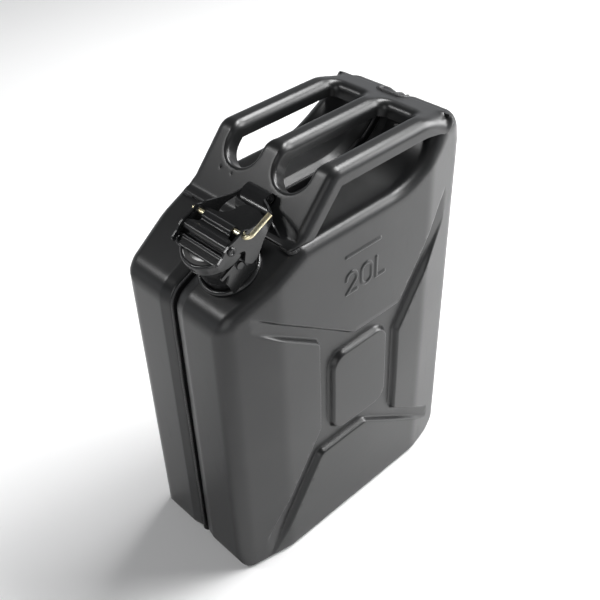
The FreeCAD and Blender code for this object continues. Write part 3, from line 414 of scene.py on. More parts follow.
class NodeBuilder:
    """Adds linked nodes to one node tree."""

    def __init__(self, tree):
        self.tree = tree

    def node(self, kind, settings=None, sockets=None):
        """Adds a node: settings first, then a number, colour or link for each socket."""
        made = self.tree.nodes.new(kind)
        for key, value in (settings or {}).items():
            setattr(made, key, value)
        for key, value in (sockets or {}).items():
            if isinstance(value, Value):
                value = value.socket
            if isinstance(value, bpy.types.NodeSocket):
                self.tree.links.new(value, made.inputs[key])
            else:
                made.inputs[key].default_value = value
        return made


class Shader(NodeBuilder):
    """Builds one material from nodes."""

    def __init__(self, name):
        self.material = bpy.data.materials.new(name)
        self.material.use_nodes = True
        super().__init__(self.material.node_tree)
        self.tree.nodes.clear()
        self.place = self.node("ShaderNodeTexCoord").outputs["Object"]

    def noise(self, scale, detail=3.0, roughness=0.5, stretch=(1, 1, 1)):
        """Fine cloudy pattern, from nought to one; scale is in waves to the metre."""
        moved = self.node("ShaderNodeMapping", {}, {"Vector": self.place, "Scale": stretch})
        sockets = {"Vector": moved.outputs[0], "Scale": scale, "Detail": detail, "Roughness": roughness}
        return Value(self, self.node("ShaderNodeTexNoise", {}, sockets).outputs[0])

    def flakes(self, scale, randomness=1.0):
        """Distance from scattered points."""
        sockets = {"Vector": self.place, "Scale": scale, "Randomness": randomness}
        return Value(self, self.node("ShaderNodeTexVoronoi", {}, sockets).outputs["Distance"])

    def blend(self, share, first, second):
        """Colour between two colours."""
        return self.node("ShaderNodeMix", {"data_type": "RGBA"}, {0: share, 6: first, 7: second}).outputs[2]

    def bump(self, height, distance, strength=1.0):
        """Normal tilted by a height pattern whose full step is the distance in metres."""
        sockets = {"Height": height, "Distance": distance, "Strength": strength}
        return self.node("ShaderNodeBump", {}, sockets).outputs[0]

    def finish(self, **sockets):
        """Closes the material with one principled shader."""
        named = {key.replace("_", " "): value for key, value in sockets.items()}
        surface = self.node("ShaderNodeBsdfPrincipled", {}, named)
        self.node("ShaderNodeOutputMaterial", {}, {"Surface": surface.outputs[0]})
        return self.material


def rgb(red, green, blue):
    """Opaque colour."""
    return (red, green, blue, 1.0)


def black_paint(name, roughness, peel, dust):
    """Satin stoving paint: orange peel, faint cloudiness, fine rub marks and a little dust."""
    shader = Shader(name)
    cloud = shader.noise(9.0, 4.0)
    grain = shader.noise(620.0, 2.0)
    ripple = shader.noise(160.0, 1.5)
    rubs = shader.noise(45.0, 5.0, 0.7, (1, 1, 0.25)).between(0.56, 0.72)
    specks = 1 - shader.flakes(260.0).between(0.05, 0.12)
    rare = shader.noise(30.0, 2.0).between(0.58, 0.66)
    dusty = (shader.noise(14.0, 6.0, 0.65).between(0.45, 0.8) * dust + specks * rare * dust).clipped()
    paint = shader.blend(cloud, rgb(0.0065, 0.0067, 0.007), rgb(0.0105, 0.0108, 0.0113))
    colour = shader.blend(dusty, paint, rgb(0.12, 0.117, 0.11))
    rough = roughness + (cloud - 0.5) * 0.08 + (grain - 0.5) * 0.05 + rubs * 0.05 + dusty * 0.25
    return shader.finish(
        Base_Color=colour,
        Roughness=rough,
        IOR=1.5,
        Normal=shader.bump(ripple * 0.75 + grain * 0.25, peel),
    )


def weld_paint():
    """The same paint over rough weld metal, with a few pits."""
    shader = Shader("paint_on_weld")
    lumps = shader.noise(420.0, 4.0, 0.6)
    pits = 1 - shader.flakes(330.0).between(0.02, 0.22)
    shade = shader.blend(lumps, rgb(0.008, 0.008, 0.0085), rgb(0.018, 0.018, 0.019))
    return shader.finish(
        Base_Color=shade,
        Roughness=0.34 + lumps * 0.2,
        Normal=shader.bump(lumps - pits * 0.35, 0.0005),
    )


def yellow_zinc():
    """Yellow passivated zinc: warm film that drifts to green and pink, with drawn lines."""
    shader = Shader("yellow_zinc")
    drift = shader.noise(55.0, 3.0, 0.6)
    second = shader.noise(90.0, 4.0, 0.55)
    lines = shader.noise(700.0, 2.0, 0.5, (1, 0.05, 1))
    film = shader.blend(drift.between(0.3, 0.7), rgb(0.78, 0.66, 0.36), rgb(0.86, 0.82, 0.62))
    tint = shader.blend(second.between(0.55, 0.75) * 0.6, film, rgb(0.62, 0.56, 0.5))
    dull = shader.noise(160.0, 5.0).between(0.5, 0.75)
    return shader.finish(
        Base_Color=shader.blend(dull * 0.4, tint, rgb(0.4, 0.33, 0.2)),
        Metallic=1.0,
        Roughness=0.22 + lines * 0.12 + dull * 0.2,
        Normal=shader.bump(lines, 0.00006),
    )


def plain_steel():
    """Bare drawn steel, slightly oily."""
    shader = Shader("plain_steel")
    drawn = shader.noise(500.0, 3.0, 0.6, (0.08, 1, 1))
    stain = shader.noise(40.0, 5.0)
    return shader.finish(
        Base_Color=shader.blend(stain, rgb(0.3, 0.3, 0.31), rgb(0.42, 0.41, 0.4)),
        Metallic=1.0,
        Roughness=0.3 + drawn * 0.18 + stain * 0.08,
        Normal=shader.bump(drawn, 0.00005),
    )


def nitrile_rubber():
    """Moulded black rubber with a chalky bloom."""
    shader = Shader("nitrile_rubber")
    bloom = shader.noise(70.0, 5.0, 0.6)
    skin = shader.noise(900.0, 2.0)
    return shader.finish(
        Base_Color=shader.blend(bloom, rgb(0.018, 0.018, 0.018), rgb(0.042, 0.041, 0.04)),
        Roughness=0.62 + bloom * 0.15,
        Normal=shader.bump(skin, 0.00004),
    )


BODY_PAINT = black_paint("satin_body_paint", 0.33, 0.00004, 0.04)
CLOSURE_PAINT = black_paint("satin_closure_paint", 0.22, 0.00003, 0.03)
WELD_PAINT = weld_paint()
ZINC = yellow_zinc()
STEEL = plain_steel()
RUBBER = nitrile_rubber()

FINISHES = {
    "vent_tube": STEEL,
    "vent_clip": STEEL,
    "cap_gasket": RUBBER,
    "locking_pin": ZINC,
}
for node_name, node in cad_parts.items():
    node.data.materials.clear()
    node.data.materials.append(FINISHES.get(node_name, CLOSURE_PAINT))


# Half shells


def slab_height(x):
    """Half thickness of the can at x before its edges are rounded."""
    past = np.abs(x) - FLAT_SIDE_HALF
    bend = (past + CREASE_REACH) ** 2 / (4 * CREASE_REACH)
    soft = np.where(past < -CREASE_REACH, 0, np.where(past > CREASE_REACH, past, bend))
    return WIDTH / 2 - BAND_SLOPE * soft


def end_height(x):
    """Half thickness at x where the upright end edges are rounded."""
    lean = math.atan(BAND_SLOPE)
    centre_x = REAR - CORNER_RADIUS
    centre_y = WIDTH / 2 - BAND_SLOPE * (centre_x - FLAT_SIDE_HALF) - CORNER_RADIUS / math.cos(lean)
    past = np.abs(x) - centre_x
    arc = centre_y + np.sqrt(np.maximum(CORNER_RADIUS ** 2 - np.maximum(past, 0) ** 2, 0))
    return np.where(past > CORNER_RADIUS * math.sin(lean), arc, slab_height(x))


def edge_radius(z):
    """Radius of the rim, small at the bottom and larger at the top."""
    low = BOTTOM_EDGE_RADIUS + (TOP_EDGE_RADIUS - BOTTOM_EDGE_RADIUS) * ease((z - 40) / 120)
    return low + REAR_EDGE_EXTRA * ease((z - SADDLE_Z) / 30)


def offset_polygon(corners, depth):
    """Corners of a convex outline whose sides move inwards by depth."""
    moved = []
    for index, corner in enumerate(corners):
        before = unit(corner - corners[index - 1])
        after = unit(corners[(index + 1) % len(corners)] - corner)
        shift = depth / (1 + before @ after)
        moved.append(corner + shift * np.array((-before[1] - after[1], before[0] + after[0])))
    return np.array(moved)


def field_distance(corners, radius, points):
    """Distance outside a convex field with rounded corners, negative inside it."""
    core = offset_polygon(np.array(corners, float), radius)
    away = distance_to(core, points)
    return np.where(inside(core, points), -away, away) - radius


def raised_fields():
    """Central panel and the four fields around it, each with its corner radius, from the pressing centre."""
    far = 260.0
    across, up = PANEL_HALF_SIZE
    panel = [(-across, -up), (across, -up), (across, up), (-across, up)]
    top = [
        (-10.7, 75.5), (60.7, 75.5),
        (60.7 + far, 75.5 + STEEP_WALL * far), (-10.7 - far, 75.5 + SHALLOW_WALL * far),
    ]
    left = [(-62, -33), (-62, 90), (-62 - far, 90 + SHALLOW_WALL * far), (-62 - far, -33 - STEEP_WALL * far)]
    opposite = [[(-a, -b) for a, b in field] for field in (top, left)]
    return [(panel, PANEL_RADIUS)] + [(field, FIELD_RADIUS) for field in (top, left, *opposite)]


def wall_distance(points):
    """Distance from the nearest raised field."""
    local = points - PRESSING_CENTRE
    found = [field_distance(counterclockwise(field), radius, local) for field, radius in raised_fields()]
    return np.min(found, axis=0)


def mark_lines():
    """Centre lines of the capacity mark: bar, two, nought and letter."""
    low = 329.0 + MARK_HALF_STROKE
    high = 357.0 - MARK_HALF_STROKE
    left = -21.5
    radius = 9.25 - MARK_HALF_STROKE
    centre = np.array((left + 9.25, high - radius))
    turns = np.radians(np.linspace(180, -35, 16))
    bow = [centre + radius * np.array((math.cos(turn), math.sin(turn))) for turn in turns]
    two = bow + [np.array((left + 2.4, low)), np.array((left + 18.5 - MARK_HALF_STROKE, low))]
    nought_left = left + 22 + MARK_HALF_STROKE
    nought_right = left + 40.5 - MARK_HALF_STROKE
    nought = rounded([
        (nought_left, low, 7.4),
        (nought_right, low, 7.4),
        (nought_right, high, 7.4),
        (nought_left, high, 7.4),
    ])
    letter_left = left + 44 + MARK_HALF_STROKE
    letter = [(letter_left, high), (letter_left, low), (left + 60 - MARK_HALF_STROKE, low)]
    bar = [(left + MARK_HALF_STROKE, 376.2), (30.5 - MARK_HALF_STROKE, 376.2)]
    return [np.array(bar), np.array(two), np.vstack([nought, nought[:1]]), np.array(letter)]


def mark_distance(points):
    """Distance from the centre lines of the capacity mark."""
    return np.min([distance_to(line, points, False) for line in mark_lines()], axis=0)


def waviness(x, z):
    """Slight unevenness of the pressed sheet."""
    return (
        0.16 * np.sin(x / 23.0 + 0.8 * np.sin(z / 41.0))
        + 0.14 * np.sin(z / 29.0 + 1.1 * np.sin(x / 37.0) + 1.3)
        + 0.08 * np.sin((x + z) / 13.0 + 2.1)
    )


class SideSurface:
    """Height of one broad side over the middle plane of the can."""

    def __init__(self, ring, mark_turn):
        self.ring = ring
        self.mark_turn = mark_turn

    def height(self, points, inset=None):
        """Height at points (x, z); inset is their distance from the outline where it is known."""
        x, z = points[:, 0], points[:, 1]
        near = distance_to(self.ring, points) if inset is None else inset
        radius = edge_radius(z)
        reach = np.clip(near, 0, radius)
        rim = slab_height(x) - radius + np.sqrt(np.maximum(radius ** 2 - (radius - reach) ** 2, 0))
        top = np.minimum(end_height(x), rim)
        sunk = np.minimum(top, WIDTH / 2 - PRESSING_DEPTH)
        channel = ease((wall_distance(points) + 0.8) / 4.6)
        fade = ease((near - 2) / 12)
        raised = mark_distance(points * (self.mark_turn, 1))
        mark = MARK_HEIGHT * ease((MARK_HALF_STROKE + 0.75 - raised) / 1.5)
        return top + (sunk - top) * channel * fade + mark + waviness(x, z) * fade

    def interior(self, ring):
        """Loose points inside a ring, closer together on walls and on the capacity mark."""
        coarse = lattice((FRONT, 0), (REAR, HEIGHT), 3.6)
        away = wall_distance(coarse)
        marked = mark_distance(coarse * (self.mark_turn, 1))
        coarse = coarse[((away < -3.5) | (away > 7)) & (marked > 6)]
        middle = lattice((FRONT, 0), (REAR, HEIGHT), 1.3)
        away = wall_distance(middle)
        marked = mark_distance(middle * (self.mark_turn, 1))
        middle = middle[(((away >= -2.2) & (away <= 5.4)) | (marked < 5.5)) & (marked > 3.9)]
        fine = lattice((-45, 322), (45, 384), 0.85)
        fine = fine[mark_distance(fine * (self.mark_turn, 1)) <= 3.6]
        points = np.vstack([coarse, middle, fine])
        points = points[inside(ring, points)]
        return points[distance_to(ring, points) > 1.6]


# Rows from the rim to the middle plane: half width and depth under the outline
GROOVE_ROWS = [
    (18.0, 0.0),
    (17.2, 0.1),
    (16.2, 0.35),
    (12.0, 1.35),
    (8.0, 2.3),
    (6.4, 2.7),
    (5.4, 3.1),
    (4.6, 3.8),
    (4.2, 4.8),
    (4.0, 6.4),
    (3.7, 7.6),
    (3.0, 8.0),
    (2.0, 7.9),
    (1.3, 7.2),
    (1.0, 6.0),
    (0.9, 4.0),
]


def shell_mesh(side, name):
    """One pressed half; side is -1 for the spout side and 1 for the plain side."""
    ring = evenly(rounded(SIDE_OUTLINE), 3.1)
    inward = left_normals(ring)
    surface = SideSurface(ring, 1 if side < 0 else -1)
    upright = ease((np.abs(inward[:, 0]) - 0.85) / 0.15)
    reach = edge_radius(ring[:, 1]) * (1 - upright) + END_EDGE_REACH * upright
    between_corners = np.abs(ring[:, 1] - 200) < 150
    reach = smooth_ring(np.minimum(reach, np.where(between_corners, END_EDGE_REACH, CORNER_REACH)), 4)
    rings = []
    for angle in np.radians((90, 78, 66, 54, 43, 32, 22, 13, 6, 0)):
        inset = reach * (1 - math.cos(angle))
        flat = ring + inward * inset[:, None]
        height = surface.height(flat, inset)
        rings.append(np.column_stack([flat[:, 0], side * height, flat[:, 1]]))
    border = rings[0][:, [0, 2]]
    loose = surface.interior(border)
    heights = surface.height(loose)
    sheet = np.column_stack([loose[:, 0], side * heights, loose[:, 1]])
    rim = np.abs(rings[-1][:, 1])
    rows = []
    for share in np.linspace(0, 1, 18)[1:-1]:
        half = rim + (GROOVE_ROWS[0][0] - rim) * share
        rows.append(row_points(ring, inward, side, half, np.zeros(len(ring))))
    for half, depth in GROOVE_ROWS:
        rows.append(row_points(ring, inward, side, np.full(len(ring), half), np.full(len(ring), depth)))
    top = flange_drop(ring)
    rows.append(row_points(ring, inward, side, np.full(len(ring), 0.9), top))
    rows.append(row_points(ring, inward, side, np.zeros(len(ring)), top))
    points, faces = walled_sheet([border], loose, sheet, [rings + rows], lambda at: inside(border, at))
    if side > 0:
        faces = faces[:, ::-1]
    else:
        faces = faces[~neck_hole(points[faces].mean(1))]
    points, faces = thickened(points, faces, SHEET)
    return solid_mesh(name, points, faces)


def flange_drop(ring):
    """Depth of the top of the seam flange, which stands higher over the saddle."""
    x, z = ring[:, 0], ring[:, 1]
    saddle = ease((x + 62) / 5) * ease((97 - x) / 5) * (z > SADDLE_Z - 20)
    return FLANGE_DROP + (SADDLE_FLANGE_DROP - FLANGE_DROP) * saddle


def spout_distance(points):
    """Distance of each point from the axis of the neck."""
    away = points - SPOUT_CENTRE
    flat = away - (away @ SPOUT_NORMAL)[:, None] * SPOUT_NORMAL
    return np.linalg.norm(flat, axis=1)


def row_points(ring, inward, side, half, depth):
    """One row of the seam section, kept out of the groove where the neck stands."""
    flush = np.column_stack([ring[:, 0], side * half, ring[:, 1]])
    if side < 0:
        beside = ease((spout_distance(flush) - SEAT_RADIUS + 0.5) / 2)
        near = (ring[:, 1] > SHOULDER_START_Z - 10) & (ring[:, 0] < SHOULDER_END_X + 5) & (half > 1.2)
        depth = np.where(near, depth * beside, depth)
    flat = ring + inward * depth[:, None]
    return np.column_stack([flat[:, 0], side * half, flat[:, 1]])


def neck_hole(centres):
    """Tells which faces lie in the hole under the neck."""
    shoulder = (centres[:, 2] > SHOULDER_START_Z - 30) & (centres[:, 0] < SHOULDER_END_X)
    return shoulder & (spout_distance(centres) < NECK_HOLE_RADIUS)


for side, shell_name in ((-1, "shell_spout_side"), (1, "shell_plain_side")):
    place_piece(shell_name, shell_mesh(side, shell_name), "can", BODY_PAINT, ["half_" + shell_name])


# Seam weld


class Growth(NodeBuilder):
    """Geometry node tree with named inputs."""

    def __init__(self, name):
        super().__init__(bpy.data.node_groups.new(name, "GeometryNodeTree"))
        self.tree.interface.new_socket("Geometry", in_out="OUTPUT", socket_type="NodeSocketGeometry")
        self.names = {}
        self.source = self.node("NodeGroupInput")

    def input(self, name, kind, value=None):
        """Adds a named input and keeps its identifier."""
        socket = self.tree.interface.new_socket(name, in_out="INPUT", socket_type=kind)
        if value is not None:
            socket.default_value = value
        self.names[name] = socket.identifier

    def read(self, name):
        """A named input as a value."""
        return Value(self, self.source.outputs[name])

    def close(self, geometry, material):
        """Ends the tree with plain geometry that carries the material."""
        real = self.node("GeometryNodeRealizeInstances", {}, {"Geometry": geometry}).outputs[0]
        painted = self.node("GeometryNodeSetMaterial", {}, {"Geometry": real, "Material": material})
        target = self.node("NodeGroupOutput")
        self.tree.links.new(painted.outputs[0], target.inputs[0])


def weld_tree():
    """Bead along a curve: overlapping ripples, uneven width and a slight wander."""
    tree = Growth("weld_bead")
    tree.input("Path", "NodeSocketObject")
    tree.input("Half Width", "NodeSocketFloat", 1.7 * MM)
    tree.input("Ripple Length", "NodeSocketFloat", 2.6 * MM)
    tree.input("Ripple Height", "NodeSocketFloat", 0.16)
    tree.input("Wander", "NodeSocketFloat", 0.25 * MM)
    tree.input("Seed", "NodeSocketFloat", 4.0)

    def noise(scale):
        sockets = {"W": tree.read("Seed"), "Scale": scale, "Detail": 2.0}
        return tree.node("ShaderNodeTexNoise", {"noise_dimensions": "4D"}, sockets)

    path = tree.node("GeometryNodeObjectInfo", {"transform_space": "ORIGINAL"}, {"Object": tree.read("Path")})
    spacing = {"Curve": path.outputs["Geometry"], "Length": 0.75 * MM}
    fine = tree.node("GeometryNodeResampleCurve", {"mode": "LENGTH"}, spacing)
    along = Value(tree, tree.node("GeometryNodeSplineParameter").outputs["Length"])
    uneven = Value(tree, noise(110.0).outputs[0])
    tooth = along.maths("FRACT", along / tree.read("Ripple Length") + uneven * 0.9)
    swell = along.maths("SINE", tooth * math.pi)
    thick = (0.82 + swell * tree.read("Ripple Height") + uneven * 0.22) * tree.read("Half Width")
    drift = noise(26.0).outputs[1]
    centred = tree.node("ShaderNodeVectorMath", {"operation": "SUBTRACT"}, {0: drift, 1: (0.5, 0.5, 0.5)})
    reach = {0: centred.outputs[0], "Scale": tree.read("Wander") * 4.0}
    moved = tree.node("ShaderNodeVectorMath", {"operation": "SCALE"}, reach)
    shift = {"Geometry": fine.outputs[0], "Offset": moved.outputs[0]}
    wandering = tree.node("GeometryNodeSetPosition", {}, shift)
    width = {"Curve": wandering.outputs[0], "Radius": thick}
    rail = tree.node("GeometryNodeSetCurveRadius", {}, width)
    circle = {"Resolution": 10, "Radius": 1.0}
    profile = tree.node("GeometryNodeCurvePrimitiveCircle", {"mode": "RADIUS"}, circle)
    sweep = {"Curve": rail.outputs[0], "Profile Curve": profile.outputs[0], "Scale": thick}
    swept = tree.node("GeometryNodeCurveToMesh", {}, sweep)
    smooth = tree.node("GeometryNodeSetShadeSmooth", {}, {"Geometry": swept.outputs[0]})
    tree.close(smooth.outputs[0], WELD_PAINT)
    return tree


def curve_through(name, points, closed):
    """Curve object through points in metres."""
    curve = bpy.data.curves.new(name, "CURVE")
    curve.dimensions = "3D"
    line = curve.splines.new("POLY")
    line.points.add(len(points) - 1)
    line.points.foreach_set("co", np.column_stack([points, np.ones(len(points))]).ravel())
    line.use_cyclic_u = closed
    return in_scene(name, curve)


def bead(name, points, closed, tree, **sizes):
    """Plain mesh of a weld bead along points in millimetres."""
    path = curve_through(name + "_path", points * MM, closed)
    holder = in_scene(name + "_holder", bpy.data.meshes.new(name + "_holder"))
    modifier = holder.modifiers.new("bead", "NODES")
    modifier.node_group = tree.tree
    modifier[tree.names["Path"]] = path
    for key, value in sizes.items():
        modifier[tree.names[key.replace("_", " ")]] = value
    mesh = finished(holder)
    bpy.data.objects.remove(holder)
    bpy.data.objects.remove(path)
    return mesh


def seam_path():
    """Middle of the weld on the seam flanges, all the way round the can."""
    ring = evenly(rounded(SIDE_OUTLINE), 1.5)
    flat = ring + left_normals(ring) * (flange_drop(ring) - 0.2)[:, None]
    return np.column_stack([flat[:, 0], np.zeros(len(flat)), flat[:, 1]])


def circle_path(radius, height, spacing=1.5):
    """Circle round the spout at a height over the shoulder."""
    turns = np.linspace(0, 2 * math.pi, round(2 * math.pi * radius / spacing), endpoint=False)
    return in_spout_frame([(radius * math.cos(turn), radius * math.sin(turn), height) for turn in turns])


WELD = weld_tree()
seam = bead("seam_bead", seam_path(), True, WELD, Half_Width=1.5 * MM, Wander=0.5 * MM)
place_piece("seam_bead", seam, "can", WELD_PAINT, ["seam_weld"])
collar = bead("neck_weld_ring", circle_path(29.6, 1.6), True, WELD, Half_Width=3.2 * MM, Ripple_Height=0.06)
rear_arch = [
    (148, -18, 462), (142.5, -17.6, 463.2), (138, -14.5, 464.2), (137.2, -8, 464.6), (137.2, 8, 464.6),
    (138, 14.5, 464.2), (142.5, 17.6, 463.2), (148, 18, 462),
]
arch = bead("rear_arch", smooth_line(np.array(rear_arch)), False, WELD, Half_Width=2.8 * MM, Wander=0.4 * MM)
foot_x = HANDLE_BASE[0] - 9.4
foot_z = SADDLE_Z + (foot_x - SHOULDER_END_X) * math.tan(SHOULDER_ANGLE)
feet = []
for side in (-1, 1):
    corner = np.array([
        (foot_x + 9, side * 80.5, foot_z + 2.2), (foot_x + 3, side * 80, foot_z + 0.6),
        (foot_x, side * 77.5, foot_z), (foot_x - 0.4, side * 73, foot_z + 0.3),
        (foot_x - 0.2, side * 64, foot_z + 0.4),
    ])
    feet.append(bead("foot_weld", smooth_line(corner), False, WELD, Half_Width=1.8 * MM, Wander=0.5 * MM))
place_piece("handle_welds", merged([arch, *feet]), "can", WELD_PAINT, ["handle_weld"])
place_piece("neck_weld_ring", collar, "can", CLOSURE_PAINT, ["neck_base_ring"])


# Handle


class HandleProfile:
    """Top face of the handle seen from the side, as places along its length."""

    def __init__(self):
        slope = math.tan(SHOULDER_ANGLE)
        foot_x = HANDLE_BASE[0] - 9.0
        lift = HANDLE_SHEET / math.cos(SHOULDER_ANGLE)
        foot_z = SADDLE_Z + (foot_x - SHOULDER_END_X) * slope + lift
        base_x = HANDLE_BASE[0] - 0.6
        base_z = SADDLE_Z + (base_x - SHOULDER_END_X) * slope + lift
        corners = [
            (foot_x, foot_z, 0),
            (base_x, base_z, 4),
            (HANDLE_TOP_START_X, HEIGHT, 17),
            (HANDLE_TOP_END_X, HEIGHT, 60),
            (*HANDLE_REAR, 0),
        ]
        self.line = evenly(rounded(corners, False), 0.5, False)
        steps = np.linalg.norm(np.diff(self.line, axis=0), axis=1)
        self.along = np.concatenate([[0], np.cumsum(steps)])
        tangent = np.gradient(self.line, self.along, axis=0)
        tangent /= np.linalg.norm(tangent, axis=1)[:, None]
        self.normal = np.column_stack([-tangent[:, 1], tangent[:, 0]])
        self.length = self.along[-1]

    def at_x(self, x):
        """Distance along the handle where it passes x."""
        return float(np.interp(x, self.line[:, 0], self.along))

    def place(self, along, side, depth):
        """Point in space from its place along the handle, its side and its depth under the face."""
        x = np.interp(along, self.along, self.line[:, 0])
        z = np.interp(along, self.along, self.line[:, 1])
        nx = np.interp(along, self.along, self.normal[:, 0])
        nz = np.interp(along, self.along, self.normal[:, 1])
        return np.column_stack([x - nx * depth, side, z - nz * depth])


def handle_rings(profile):
    """Outer edge, two slots and two small holes of the handle, and where its foot and its end lie."""
    start = 0.0
    end = profile.length
    foot = profile.at_x(HANDLE_BASE[0])
    slot_front = profile.at_x(HANDLE_BASE[0] + SLOT_FRONT_RISE * math.cos(HANDLE_LEAN))
    slot_rear = profile.at_x(SLOT_REAR_X)
    edge = BAR_OUTER_EDGE
    notch = REAR_NOTCH_HALF_WIDTH
    notch_front = end - REAR_NOTCH_DEPTH
    outer = rounded([
        (start, edge - 3, 3),
        (start, 4, 1.5),
        (foot + 6, 4, 2.5),
        (foot + 6, -4, 2.5),
        (start, -4, 1.5),
        (start, -edge + 3, 3),
        (foot + 4, -edge, 6),
        (end, -edge, 1.5),
        (end, -notch, 2),
        (notch_front, -notch, 3),
        (notch_front, notch, 3),
        (end, notch, 2),
        (end, edge, 1.5),
        (foot + 4, edge, 6),
    ])
    rings = [evenly(outer, 1.9)]
    inner = BAR_WIDTH / 2
    wide = edge - BAR_WIDTH
    for side in (-1, 1):
        low, high = sorted((side * inner, side * wide))
        slot = rounded([
            (slot_front, low, 23),
            (slot_rear, low, 10),
            (slot_rear, high, 10),
            (slot_front, high, 23),
        ])
        rings.append(evenly(slot, 1.9)[::-1])
    for along, side, radius in PLATE_HOLES:
        turns = np.linspace(0, -2 * math.pi, 20, endpoint=False)
        rings.append(np.column_stack([foot + along + radius * np.cos(turns), side + radius * np.sin(turns)]))
    return rings, foot, end


def handle_mesh():
    """Pressed handle: rounded bars, walls down at every edge, one sheet thick."""
    profile = HandleProfile()
    rings, foot, end = handle_rings(profile)
    borders, walls = [], []
    for index, ring in enumerate(rings):
        inward = left_normals(ring)
        if index == 0:
            beside = np.abs(np.abs(ring[:, 1]) - BAR_OUTER_EDGE) < 0.6
            beside &= (ring[:, 0] > foot + 2) & (ring[:, 0] < end - 2)
            late = ease((ring[:, 0] - end + 45) / 40)
            rounding = smooth_ring(np.where(beside, BAR_ROUNDING + LATE_ROUNDING * late, 0.9), 5)
            wall = smooth_ring(np.where(beside, HANDLE_DEPTH, 1.5), 4)
        elif index > 2:
            rounding = np.full(len(ring), 0.5)
            wall = np.full(len(ring), 0.8)
        else:
            up_bar = ease((ring[:, 0] - profile.at_x(HANDLE_TOP_START_X) + 8) / 22)
            rounding = RIM_ROUNDING + (BAR_ROUNDING - RIM_ROUNDING) * up_bar
            wall = np.full(len(ring), HANDLE_DEPTH)
        rows = []
        for angle in np.radians((90, 77, 64, 51, 38, 26, 15, 6, 0)):
            flat = ring + inward * (rounding * (1 - math.cos(angle)))[:, None]
            rows.append((flat, rounding * (1 - math.sin(angle))))
        for share in (0.3, 0.65, 1.0):
            rows.append((ring, rounding + np.maximum(wall - rounding, 0.05) * share))
        walls.append([profile.place(flat[:, 0], flat[:, 1], depth) for flat, depth in rows])
        borders.append(rows[0][0])

    def on_sheet(centres):
        kept = inside(borders[0], centres)
        for border in borders[1:]:
            kept &= ~inside(border, centres)
        return kept

    loose = lattice((0, -BAR_OUTER_EDGE), (end, BAR_OUTER_EDGE), 2.6)
    loose = loose[on_sheet(loose)]
    loose = loose[np.min([distance_to(border, loose) for border in borders], axis=0) > 1.2]
    sheet = profile.place(loose[:, 0], loose[:, 1], np.zeros(len(loose)))
    points, faces = walled_sheet(borders, loose, sheet, walls, on_sheet)
    points, faces = thickened(points, faces[:, ::-1], HANDLE_SHEET)
    return solid_mesh("carrying_handle", points, faces)


place_piece("carrying_handle", handle_mesh(), "can", BODY_PAINT, ["handle_frame"])


# Neck, cap and fittings


def grid_faces(rows, columns, closed=False):
    """Triangles over a grid of points stored row by row."""
    steps = columns if closed else columns - 1
    down, over = np.meshgrid(np.arange(rows - 1), np.arange(steps), indexing="ij")
    down, over = down.ravel(), over.ravel()
    right = (over + 1) % columns
    a, b = down * columns + over, (down + 1) * columns + over
    c, d = (down + 1) * columns + right, down * columns + right
    return np.vstack([np.column_stack([a, b, c]), np.column_stack([a, c, d])])


def bent_sheet(path, near, far, thickness, columns=21):
    """Bent sheet: a path (u, n) swept from the near to the far side, both given as (share, v)."""
    line = evenly(path, 0.6, False)
    share = np.linspace(0, 1, len(line))
    low = np.interp(share, *np.transpose(near))
    high = np.interp(share, *np.transpose(far))
    across = np.linspace(0, 1, columns)
    v = low[:, None] + (high - low)[:, None] * across
    u = np.repeat(line[:, :1], columns, 1)
    n = np.repeat(line[:, 1:], columns, 1)
    points = np.column_stack([u.ravel(), v.ravel(), n.ravel()])
    return thickened(points, grid_faces(len(line), columns), thickness)


def wall_between(top, bottom, side, thickness):
    """Upright sheet between a top and a bottom rim, facing out on its side."""
    upper = smooth_line(np.array(top, float))
    lower = smooth_line(np.array(bottom, float))
    share = np.linspace(0, 1, 7)[:, None]
    points = np.concatenate([a + (b - a) * share for a, b in zip(lower, upper)])
    faces = grid_faces(len(upper), 7)
    if side > 0:
        faces = faces[:, ::-1]
    return thickened(points, faces, thickness)


def plate_grid(outline):
    """Even ring along an outline (a, b, radius), and the triangles inside it."""
    ring = counterclockwise(evenly(rounded(outline), 0.8))
    return ring, triangles_between([ring], np.empty((0, 2)), lambda centres: inside(ring, centres))


def flat_plate(outline, v, side, thickness):
    """Flat plate across the spout frame at v, from an outline (u, n, radius)."""
    ring, faces = plate_grid(outline)
    points = np.column_stack([ring[:, 0], np.full(len(ring), v), ring[:, 1]])
    if side > 0:
        faces = faces[:, ::-1]
    return thickened(points, faces, thickness)


def level_plate(outline, n, thickness):
    """Flat plate at height n over the shoulder, from an outline (u, v, radius)."""
    ring, faces = plate_grid(outline)
    return thickened(np.column_stack([ring, np.full(len(ring), n)]), faces, thickness)


def turned(profile, steps=96):
    """Solid turned round the spout axis from a closed profile (radius, n), outline clockwise."""
    line = evenly(np.array(profile, float), 0.7)
    angles = np.linspace(0, 2 * math.pi, steps, endpoint=False)
    radius = line[:, :1]
    points = np.column_stack([
        (radius * np.cos(angles)).ravel(),
        (radius * np.sin(angles)).ravel(),
        np.repeat(line[:, 1], steps),
    ])
    return points, grid_faces(len(line) + 1, steps, True) % len(points)


def turned_across(profile, u, n, v, side, steps=40):
    """Disc turned round an axis along v, from a profile (radius, height) that starts on the axis."""
    line = np.array(profile, float)
    angles = np.linspace(0, 2 * math.pi, steps, endpoint=False)
    points = np.column_stack([
        (u + line[:, :1] * np.cos(angles)).ravel(),
        np.repeat(v + side * line[:, 1], steps),
        (n + line[:, :1] * np.sin(angles)).ravel(),
    ])
    faces = grid_faces(len(line), steps, True)
    return points, faces[:, ::-1] if side > 0 else faces


